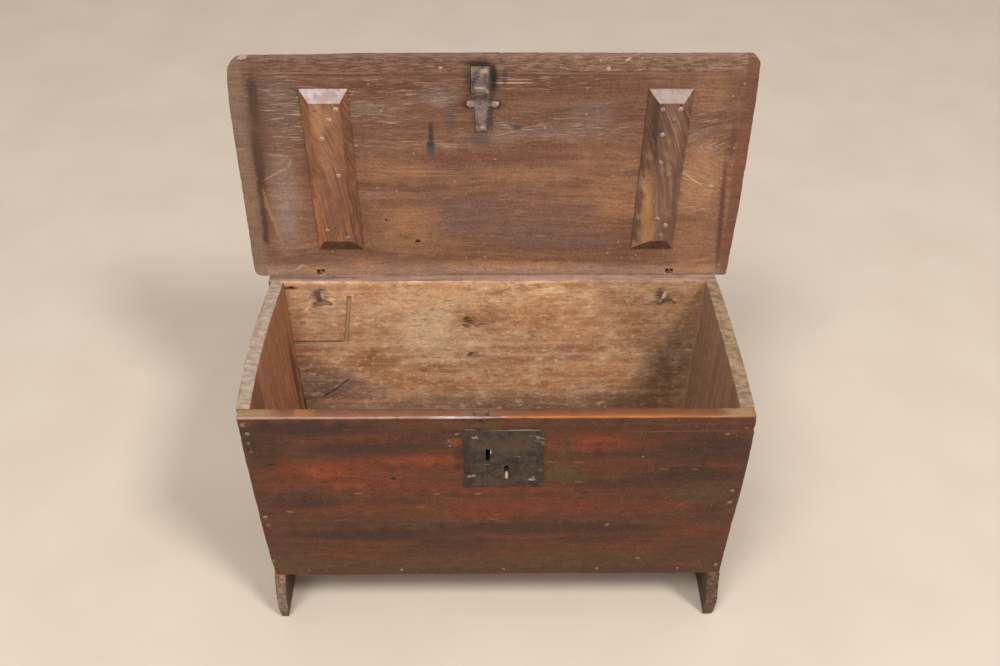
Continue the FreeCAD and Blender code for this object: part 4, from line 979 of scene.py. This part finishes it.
def end_board(side, material):
    """An end board that runs down as two feet with a cusped arch between them."""
    foot, shoulder, cusp = ARCH["foot"], ARCH["shoulder"], ARCH["cusp"]
    mirrored = (DEPTH - shoulder[0], shoulder[1])
    outline = [(foot, 0), (0, 0), (0, FOOT_HEIGHT), (BOARD, FOOT_HEIGHT), (BOARD, RIM), (BACK_INNER, RIM),
               (BACK_INNER, FOOT_HEIGHT), (DEPTH, FOOT_HEIGHT), (DEPTH, 0)]
    outline += arc_points((DEPTH - foot, 0), mirrored, cusp, 8)
    outline += arc_points(cusp, shoulder, (foot, 0), 8)[1:-1]
    thick = abs(END_BOARDS[side]["foot"][0] - END_BOARDS[side]["foot"][1])
    bm = prism([(0, y, z) for y, z in outline], (thick, 0, 0))
    soles = [e for e in bm.edges if all(v.co.z < 0.1 for v in e.verts)]
    lengthwise = [e for e in soles if abs(e.verts[0].co.x - e.verts[1].co.x) < 0.1]
    crosswise = [e for e in soles if e not in lengthwise and min(v.co.y for v in e.verts) < 1]
    round_edges(bm, lengthwise + crosswise, SOLE_ROUNDING, 4)
    inner_arris = [e for e in bm.edges if all(v.co.x > thick - 0.1 and v.co.y < 0.1 for v in e.verts)
                   and abs(e.verts[0].co.z - e.verts[1].co.z) > 60]
    round_edges(bm, inner_arris, 4.0, 3)
    for axis, high in ((1, DEPTH), (2, RIM), (0, thick)):
        slice_along(bm, axis, 0, high, SLICE)
    for v in bm.verts:
        part = v.co.x / thick
        outer, inner = (end_face_x(side, face, v.co.y, v.co.z) for face in (0, 1))
        v.co.x = outer + (inner - outer) * part
    bmesh.ops.recalc_face_normals(bm, faces=bm.faces)
    bm = worn(bm, 1.6, 36, 0.7, 1.6, seed=4 if side == "left" else 5)
    for v in bm.verts:
        v.co.z = min(max(v.co.z, 0.0), RIM - 0.1)
    settle(bm, f"{side}_end_oak", material, [f"{side}_end_board"])


# ---- lid ----
LID_X, LID_REACH = (-413.0, 405.0), 387.0
# The x of the lid's ends at distances from its rear edge.
LID_LEFT = ((0, -410.6), (22, -411.3), (100, -411.4), (255, -412.5), (321, -412.1), (347, -410.6),
            (387, -406.0))
LID_RIGHT = ((0, 397.2), (36, 399.0), (67, 400.4), (127, 402.4), (213, 404.0), (321, 404.9), (387, 403.6))
# The distance of the lid's front edge from its rear edge, at places x.
LID_FRONT = ((-413, 381.7), (-276, 382.6), (-214, 384.3), (-30, 385.2), (156, 385.4), (248, 384.9),
             (405, 385.4))
# Each corner of the lid and its radius.
LID_CORNERS = (((LID_X[0], LID_REAR - LID_REACH), 19.0), ((LID_X[1], LID_REAR - LID_REACH), 14.0),
               ((LID_X[1], LID_REAR), 4.0), ((LID_X[0], LID_REAR), 12.0))
LID_NICKS = (((-412, 199.7, 500), 5, 3.0), ((-412, 178, 500), 4, 2.0), ((403, 124.7, 500), 4, 2.5),
             ((402, 60, 505), 5, 1.6), ((-412, 80, 505), 6, 1.6), ((-412, 290, 503), 7, 1.6),
             ((400, 300, 503), 6, 1.2), ((-413, 30, 503), 6, 1.6), ((404, -10, 503), 8, 1.8))
# The recesses for the keeper's head, lugs and strap, as x and distances from the rear edge.
RECESSES = (((-39, -2), (321, 372)), ((-47, 7), (302, 316)), ((-33, -5.5), (262, 325)))
HINGE_NOTCH = {"half": 6.6, "front": 342.5, "top": 509.2}


def from_rear(distances):
    """The y pair of two distances from the lid's rear edge."""
    return LID_REAR - distances[1], LID_REAR - distances[0]


def lid_board(material):
    """The plank of the lid, written shut, with the recesses of the keeper and the hinge notches."""
    bm = sliced_slab(LID_X, (LID_REAR - LID_REACH, LID_REAR), (LID_Z, LID_Z + LID_THICKNESS), LID_CORNERS)
    stretch(bm, *LID_X, lambda p: along_line(LID_LEFT, LID_REAR - p.y),
            lambda p: along_line(LID_RIGHT, LID_REAR - p.y))
    for v in bm.verts:
        v.co.y = LID_REAR - (LID_REAR - v.co.y) * along_line(LID_FRONT, v.co.x) / LID_REACH
    cutters = [slab(x, from_rear(s), (LID_Z - 1, LID_Z + 2)) for x, s in RECESSES]
    half, notch_y = HINGE_NOTCH["half"], (HINGE_NOTCH["front"], LID_REAR + 2)
    cutters += [slab((x - half, x + half), notch_y, (LID_Z - 1, HINGE_NOTCH["top"])) for x in HINGE_X]
    bm = worn(bm, 2.2, 30, 0.8, 2.0, 5.0, 3, LID_NICKS, 3, cutters)
    for v in bm.verts:
        v.co.z = max(v.co.z, LID_Z)
    settle(bm, "lid_board_oak", material, ["lid_board"], lid=True)


# The x of the cleats' sides and of their raised faces, at the front and at the rear end.
CLEATS = {
    "left": {"front": (-303.0, -227.5), "front_face": (-287.0, -239.0),
             "rear": (-296.0, -222.0), "rear_face": (-284.5, -237.8)},
    "right": {"front": (236.5, 305.5), "front_face": (251.5, 289.8),
              "rear": (228.6, 297.6), "rear_face": (257.0, 285.0)}}
CLEAT_Y = from_rear((55.0, 335.2))
CLEAT_EDGE, CLEAT_THICKNESS = 3.0, 18.0
CLEAT_END_CHAMFER = (22.0, 17.5)


def cleat(side, material):
    """A batten whose four sides are planed to broad chamfers."""
    sizes = CLEATS[side]
    front, rear = CLEAT_Y
    top = LID_Z - CLEAT_EDGE
    corners = [(sizes["front"][0], front, LID_Z), (sizes["front"][1], front, LID_Z),
               (sizes["rear"][1], rear, LID_Z), (sizes["rear"][0], rear, LID_Z)]
    bm = prism(corners, (0, 0, -CLEAT_EDGE))
    face = min(bm.faces, key=lambda f: f.calc_center_median().z)
    raised = bmesh.ops.extrude_face_region(bm, geom=[face])["geom"]
    bmesh.ops.delete(bm, geom=[face], context="FACES_ONLY")
    middle_x = sum(corner[0] for corner in corners) / 4
    for v in [g for g in raised if isinstance(g, bmesh.types.BMVert)]:
        right, at_rear = v.co.x > middle_x, v.co.y > (front + rear) / 2
        x = sizes["rear_face" if at_rear else "front_face"][right]
        y = rear - CLEAT_END_CHAMFER[0] if at_rear else front + CLEAT_END_CHAMFER[1]
        v.co = Vector((x, y, LID_Z - CLEAT_THICKNESS))
    bmesh.ops.recalc_face_normals(bm, faces=bm.faces)
    slice_along(bm, 1, front, rear, 7)
    slice_along(bm, 0, min(c[0] for c in corners), max(c[0] for c in corners), 9)
    bm = worn(bm, 1.1, 12, 0.35, 0.8, seed=6 if side == "left" else 7)
    settle(bm, f"{side}_cleat_oak", material, [f"{side}_lid_cleat"], lid=True)


# ---- irons ----
PLATE_X, PLATE_Z, PLATE_THICKNESS = (-52.0, 73.0), (345.0, 478.5), 1.8
PLATE_HOLLOWS = {"bottom": 6.0, "right": 2.0, "top": 4.0, "left": 2.0}
PLATE_CORNERS = (5.0, 5.0, 0.0, 6.0)
# The lock's own keyhole and the older one: x, the heights of their ends, their width.
KEYHOLES = ((-13.7, 406.0, 434.8, 7.0), (14.5, 366.0, 396.5, 6.0))
# The round head of the older keyhole: x, height and radius.
KEYHOLE_HEAD = (14.3, 391.0, 4.3)
# The plate's cut corner, as distances from its right side and from its top.
CUT_CORNER = ((0.8, 19.0), (3.0, 10.0), (9.0, 1.5))
CUT_REACH = 15.0


def lock_plate(material):
    """The forged plate: hollowed sides, rounded corners, two keyholes."""
    (x0, x1), (z0, z1) = PLATE_X, PLATE_Z
    xm, zm = (x0 + x1) / 2, (z0 + z1) / 2
    h = PLATE_HOLLOWS
    corners = [(x0, z0), (x1, z0), (x1, z1), (x0, z1)]
    waists = [(xm, z0 + h["bottom"]), (x1 - h["right"], zm), (xm, z1 - h["top"]), (x0 + h["left"], zm)]
    outline = []
    for k, waist in enumerate(waists):
        outline += arc_points(corners[k], waist, corners[(k + 1) % 4], 10)[:-1]
    lost = [p for p in outline if math.dist(p, corners[2]) < CUT_REACH]
    cut = [(x1 - across, z1 - down) for across, down in CUT_CORNER]
    outline[outline.index(lost[0]):outline.index(lost[-1]) + 1] = cut
    bm = prism([(x, 0, z) for x, z in outline], (0, -PLATE_THICKNESS, 0))
    for (x, z), radius in zip(corners, PLATE_CORNERS):
        tip = [e for e in bm.edges if all(math.dist(v.co.xz, (x, z)) < 0.01 for v in e.verts)]
        if tip:
            round_edges(bm, tip, radius, 5)
    slice_along(bm, 0, x0, x1, 6)
    slice_along(bm, 2, z0, z1, 6)
    cutters = []
    for x, low, high, wide in KEYHOLES:
        cutters.append(slab((x - wide / 2, x + wide / 2), (-4, 3), (low, high - wide / 2)))
        cutters.append(rod((x, -4.2, high - wide / 2), (x, 3.2, high - wide / 2), wide / 2 + 0.02))
    x, z, radius = KEYHOLE_HEAD
    cutters.append(rod((x, -4.4, z), (x, 3.4, z), radius))
    bm = worn(bm, 0.5, 50, 0.25, 0.6, 2.0, 8, cutters=cutters)
    for v in bm.verts:
        if v.co.y < -1:
            v.co.y += 0.15 + 0.35 * abs(ragged(v.co, 17.0))
        edge = min(v.co.x - x0, x1 - v.co.x, v.co.z - z0, z1 - v.co.z)
        if edge < 9:
            v.co += Vector((ragged(v.co, 6.0), 0, ragged(v.co + Vector((50, 0, 0)), 6.0))) * 0.5
    settle(bm, "forged_lock_plate", material, ["lock_plate"])


# The keeper's head, lugs and strap, as x and distances from the lid's rear edge.
KEEPER = (((-38, -9), (322, 369.5)), ((-46, 6), (304, 316)), ((-33, -11), (264, 325)))


def keeper_plate(material):
    """The let-in iron behind the staple: head, lugs and strap, with ragged edges."""
    z = (LID_Z + 0.4, LID_Z + 2.0)
    (hx, hs), (lx, ls), (sx, ss) = KEEPER
    profile = [(hx[0], hs[1]), (hx[1], hs[1]), (hx[1], hs[0]), (hx[1] - 1, ls[1]), (lx[1], ls[1] - 2),
               (lx[1] - 5, ls[0]), (sx[1], ls[0] + 1), (sx[1] - 1.5, ss[0]), (sx[0] + 2, ss[0]),
               (sx[0], ls[0] + 1), (lx[0] + 5, ls[0]), (lx[0], ls[1] - 2), (hx[0] + 1, ls[1]),
               (hx[0], hs[0])]
    bm = prism([(x, LID_REAR - s, z[0]) for x, s in profile], (0, 0, z[1] - z[0]))
    slice_along(bm, 0, lx[0], lx[1], 4)
    slice_along(bm, 1, *from_rear((ss[0], hs[1])), 4)
    for v in bm.verts:
        rim = 0.8 * ragged(v.co, 5.0)
        v.co += Vector((rim * (1 if v.co.x < -22 else -1) * 0.6, rim * 0.5, 0))
        if v.co.z < z[0] + 0.5:
            v.co.z += 0.35 * (1 + ragged(v.co, 6.0))
    round_edges(bm, sharp_edges(bm, 50), 0.3)
    settle(bm, "forged_keeper_plate", material, ["keeper_plate"], lid=True)


# A nail's head is hammered flat above this share of its radius.
HAMMERED = 0.72
SHANK_WIDTH = 2.6


def nail_places(node, outward):
    """The middle of the flat on each nail's head and the way it faces, found in the node's own mesh."""
    bm = bmesh.new()
    bm.from_mesh(frame["nodes"][node].data)
    bmesh.ops.remove_doubles(bm, verts=bm.verts, dist=1e-6)
    left, places = set(bm.verts), []
    while left:
        shell, edge = set(), {min(left, key=lambda v: tuple(v.co))}
        while edge:
            shell |= edge
            edge = {e.other_vert(v) for v in edge for e in v.link_edges} - shell
        left -= shell
        middle = sum((v.co for v in shell), Vector()) / len(shell)
        spans = list(zip(*(v.co for v in shell)))
        box_middle = (Vector(map(min, spans)) + Vector(map(max, spans))) / 2
        way = outward if (middle - box_middle).dot(outward) > 0 else -outward
        reach = max(v.co.dot(way) for v in shell)
        flat = [v.co for v in shell if v.co.dot(way) > reach - 1e-5]
        places.append((sum(flat, Vector()) / len(flat), way))
    bm.free()
    return places


def forged_nails(node, outward, body, material, head, shank):
    """Hammered heads, each a little different, on square shanks."""
    radius, high = head
    outward = Vector(outward)
    shells = []
    for k, (top, way) in enumerate(nail_places(node, outward)):
        turn = way.to_track_quat("Z", "Y").to_matrix().to_4x4()
        seat = Matrix.Translation(top) @ turn @ Matrix.Scale(MM, 4)
        seed = Vector((k * 7.3, radius, k * 3.1))
        bm = bmesh.new()
        bmesh.ops.create_uvsphere(bm, u_segments=12, v_segments=8, radius=1)
        for v in bm.verts:
            size = radius * (0.9 + 0.16 * perlin(v.co * 1.3 + seed))
            flat = min(v.co.z, HAMMERED) / HAMMERED
            hollow = 0.25 * abs(perlin(v.co * 2 + seed))
            v.co = Vector((v.co.x * size, v.co.y * size, flat * high - high - hollow))
        stem = bmesh.new()
        bmesh.ops.create_cube(stem, size=1, matrix=Matrix.Translation((0, 0, -high - shank / 2))
                              @ Matrix.Diagonal((SHANK_WIDTH, SHANK_WIDTH, shank, 1)))
        for part in (bm, stem):
            bmesh.ops.transform(part, matrix=seat, verts=part.verts)
            shells.append(part)
    whole = union_of(shells)
    for face in whole.faces:
        face.smooth = len(face.verts) < 4 or face.calc_area() < 9e-6
    name = f"forged_{node}"
    obj = scene_object(name, mesh_from(whole, name), material)
    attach(obj, body)
    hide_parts(node)


# ---- stage ----
def floor(material):
    """A plain floor, 24 m wide."""
    bm = bmesh.new()
    bmesh.ops.create_grid(bm, x_segments=1, y_segments=1, size=12)
    obj = scene_object("floor", mesh_from(bm, "floor"), material)


LIT_MIDDLE = Vector((0, 0, 0.45))


def lamp(name, towards, distance, size, power, colour):
    """A round lamp that lights the chest from this direction."""
    light = bpy.data.lights.new(name, "AREA")
    light.shape = "DISK"
    light.size = size
    light.energy = power
    light.color = colour
    obj = scene_object(name, light)
    way = Vector(towards).normalized()
    obj.location = LIT_MIDDLE + way * distance
    obj.rotation_mode = "QUATERNION"
    obj.rotation_quaternion = way.to_track_quat("Z", "Y")


def surroundings(strength, colour):
    """Dim light from all round, in front of a background that looks white."""
    world = bpy.data.worlds.new("room")
    bpy.context.scene.world = world
    world.use_nodes = True
    tree = world.node_tree
    tree.nodes.clear()
    path = tree.nodes.new("ShaderNodeLightPath")
    seen = path.outputs["Is Camera Ray"]
    for ray in ("Is Glossy Ray", "Is Transmission Ray"):
        either = tree.nodes.new("ShaderNodeMath")
        either.operation = "MAXIMUM"
        tree.links.new(seen, either.inputs[0])
        tree.links.new(path.outputs[ray], either.inputs[1])
        seen = either.outputs[0]
    blend = tree.nodes.new("ShaderNodeMixShader")
    tree.links.new(seen, blend.inputs[0])
    for k, (shade, level) in enumerate(((colour, strength), ((1, 1, 1, 1), 1.0)), start=1):
        background = tree.nodes.new("ShaderNodeBackground")
        background.inputs["Color"].default_value = shade
        background.inputs["Strength"].default_value = level
        tree.links.new(background.outputs[0], blend.inputs[k])
    output = tree.nodes.new("ShaderNodeOutputWorld")
    tree.links.new(blend.outputs[0], output.inputs["Surface"])


# The camera's place in metres, its turns in degrees and its focal length in millimetres.
CAMERA_PLACE = (-0.01113, -1.28161, 1.58951)
CAMERA_YAW, CAMERA_PITCH, CAMERA_ROLL = -0.961, 40.663, -0.444
CAMERA_LENS = 37.57


def camera():
    """The camera, turned from looking along +Y by the yaw, down by the pitch and about its axis."""
    yaw, pitch, roll = (math.radians(a) for a in (CAMERA_YAW, CAMERA_PITCH, CAMERA_ROLL))
    right = Vector((math.cos(yaw), math.sin(yaw), 0))
    ahead = Vector((-math.sin(yaw) * math.cos(pitch), math.cos(yaw) * math.cos(pitch), -math.sin(pitch)))
    down = ahead.cross(right)
    rolled_right = right * math.cos(roll) + down * math.sin(roll)
    rolled_down = down * math.cos(roll) - right * math.sin(roll)
    data = bpy.data.cameras.new("camera")
    data.sensor_width = 36
    data.lens = CAMERA_LENS
    obj = scene_object("camera", data)
    turn = Matrix((rolled_right, -rolled_down, -ahead)).transposed()
    obj.matrix_world = Matrix.Translation(CAMERA_PLACE) @ turn.to_4x4()
    bpy.context.scene.camera = obj


# ---- the scene ----
bpy.context.scene.view_settings.view_transform = "Standard"
camera()
lamp("window_right", (0.525, -0.57, 1.0), 6.0, 1.2, 215, (1.0, 0.985, 0.96))
lamp("window_left", (-0.34, -0.62, 1.0), 6.0, 2.0, 190, (1.0, 0.985, 0.96))
lamp("low_fill", (0.05, -1.0, 0.22), 5.0, 2.6, 26, (1.0, 0.93, 0.8))
surroundings(0.48, (1.0, 0.965, 0.92, 1))
floor(floor_paint())

front_board(front_wax())
back_board(back_dry())
end_board("left", end_wood("left", -1, (172, 121, 87), (154, 106, 76),
                           ((136, 118, 102), (172, 154, 138), (98, 78, 64), (142, 120, 104)), 5.0))
end_board("right", end_wood("right", 1, (172, 136, 111), (148, 114, 92),
                            ((108, 88, 67), (156, 130, 104), (70, 50, 40), (108, 84, 70)), 9.0))
lid_board(lid_underside())
cleat("left", cleat_oak("left", (166, 116, 84), (146, 98, 70), (104, 66, 48), 1.0))
cleat("right", cleat_oak("right", (146, 108, 84), (126, 90, 70), (78, 54, 44), 2.0))

# Marks on the irons: a shade and its places each.
PLATE_MARKS = (
    # Pale: the rubbed top edge and a few flecks, with painted glints on the bent top right corner.
    ((142, 126, 112), ((34, 474.3, 37, 1.1, 0.75), (64, 458.5, 9, 1.2, 0.9, -24), (50, 462, 3, 1.2, 0.6),
                       (62, 451, 9, 0.9, 0.4, -14), (69, 446, 2.5, 5, 0.4), (-42, 476, 8, 1.0, 0.5),
                       (33, 417, 4, 1.0, 0.4), (67, 387, 4, 5, 0.45), (-16, 400, 5, 0.9, 0.5),
                       (-9, 408, 5, 1, 0.3))),
    ((84, 64, 50), ((10, 440, 46, 16, 0.5), (-8, 360, 40, 8, 0.4))),
    ((34, 28, 24), ((-39, 366, 7, 9, 0.7), (-48, 415, 8, 40, 0.6), (66, 400, 6, 30, 0.5),
                    (10, 348, 60, 3, 0.6), (24, 400, 14, 10, 0.5))),
    # Painted glints: at the right edge of the lock's keyhole and at three nails.
    ((190, 176, 162), ((-10.0, 427.5, 1.5, 4.2, 1.0), (-39, 373.5, 5.5, 2.4, 0.8, 8),
                       (-33, 458, 5, 1.6, 0.7, -15), (54, 365, 5, 2.2, 0.7, -6))))
lock_plate(iron("plate_iron", (45, 36, 30), (68, 56, 47), (84, 60, 44), marks=PLATE_MARKS, shine=0.3))
KEEPER_MARKS = (
    ((178, 144, 128), ((-18, 362, 7, 4, 0.8), (-41, 310, 6, 6, 0.9), (-12, 331, 5, 4, 0.8),
                       (1, 310, 6, 5, 0.8), (-20, 270, 4, 3, 0.7))),
    ((140, 106, 74), ((-32, 365, 6, 2, 0.7), (-28, 325, 4, 4, 0.8), (-8, 322, 5, 3, 0.6))),
    ((126, 108, 108), ((-22, 344, 9, 7, 0.5), (-21, 292, 8, 12, 0.7), (-30, 300, 4, 20, 0.4))),
    # Painted shade along the right sides of the head and the strap, and a dark band at the foot of the
    # head.
    ((40, 34, 34), ((-8, 345, 4, 26, 0.8), (-26, 320, 16, 4, 0.7), (-12, 280, 2.5, 22, 0.8))))
KEEPER_IRON = iron("keeper_iron", (78, 66, 60), (122, 106, 98), (150, 112, 88), lid=True,
                   marks=KEEPER_MARKS)
keeper_plate(KEEPER_IRON)
NAIL_IRON = iron("nail_head_iron", (72, 56, 46), (118, 98, 82), (96, 64, 46), rough=0.5)
CLEAT_NAIL_IRON = iron("cleat_nail_iron", (112, 90, 78), (160, 134, 118), (130, 88, 62), 0.4, 0.42, True)
# The radius and height of the nails' heads.
HEAD, SMALL_HEAD, CLEAT_HEAD = (4.4, 1.1), (3.4, 0.9), (4.5, 1.0)
DOWN_FROM_LID = LID_TURN.to_3x3() @ Vector((0, 0, -1))
# The way out of the heads, their body and iron, the heads themselves and the length of the shanks.
NAILS = (
    ("front_board_nails", (0, -1, 0), "chest", NAIL_IRON, HEAD, 50),
    ("back_board_nails", (0, 1, 0), "chest", NAIL_IRON, HEAD, 50),
    ("bottom_board_nails", (0, 1, 0), "chest", NAIL_IRON, SMALL_HEAD, 50),
    ("lock_plate_nails", (0, -1, 0), "chest", NAIL_IRON, SMALL_HEAD, 14),
    ("left_cleat_nails", DOWN_FROM_LID, "lid", CLEAT_NAIL_IRON, CLEAT_HEAD, 29),
    ("right_cleat_nails", DOWN_FROM_LID, "lid", CLEAT_NAIL_IRON, CLEAT_HEAD, 29),
    ("keeper_plate_nails", DOWN_FROM_LID, "lid", KEEPER_IRON, SMALL_HEAD, 10))
for nails in NAILS:
    forged_nails(*nails)

# The looks of the solids that no skin replaces: wires are rusty, the others are lock steel, darkened as
# painted shade.
CARRIED = {"bottom_board": bottom_dry(), "lid_staple": KEEPER_IRON}
RUST = iron("wire_rust", (96, 66, 48), (134, 98, 74), (150, 98, 62), 0.4, 0.8, shine=0.15)
# A glint on the bolt, seen through the keyhole.
GLINT = ((236, 228, 218), ((-11.9, 428, 1.1, 4, 1.0),))
# The lock's steel is made very dark, a painted shade, so that the keyholes show black.
SHADED_LOCK_STEEL = iron("shaded_lock_steel", (34, 29, 26), (58, 51, 46), (60, 42, 32), 0.5, 0.6, shine=0.15,
                  marks=(GLINT,))
for name, node in frame["nodes"].items():
    if node.hide_render:
        continue
    node.data.materials.clear()
    wire = name.endswith("hinge_pin")
    node.data.materials.append(CARRIED.get(name, RUST if wire else SHADED_LOCK_STEEL))
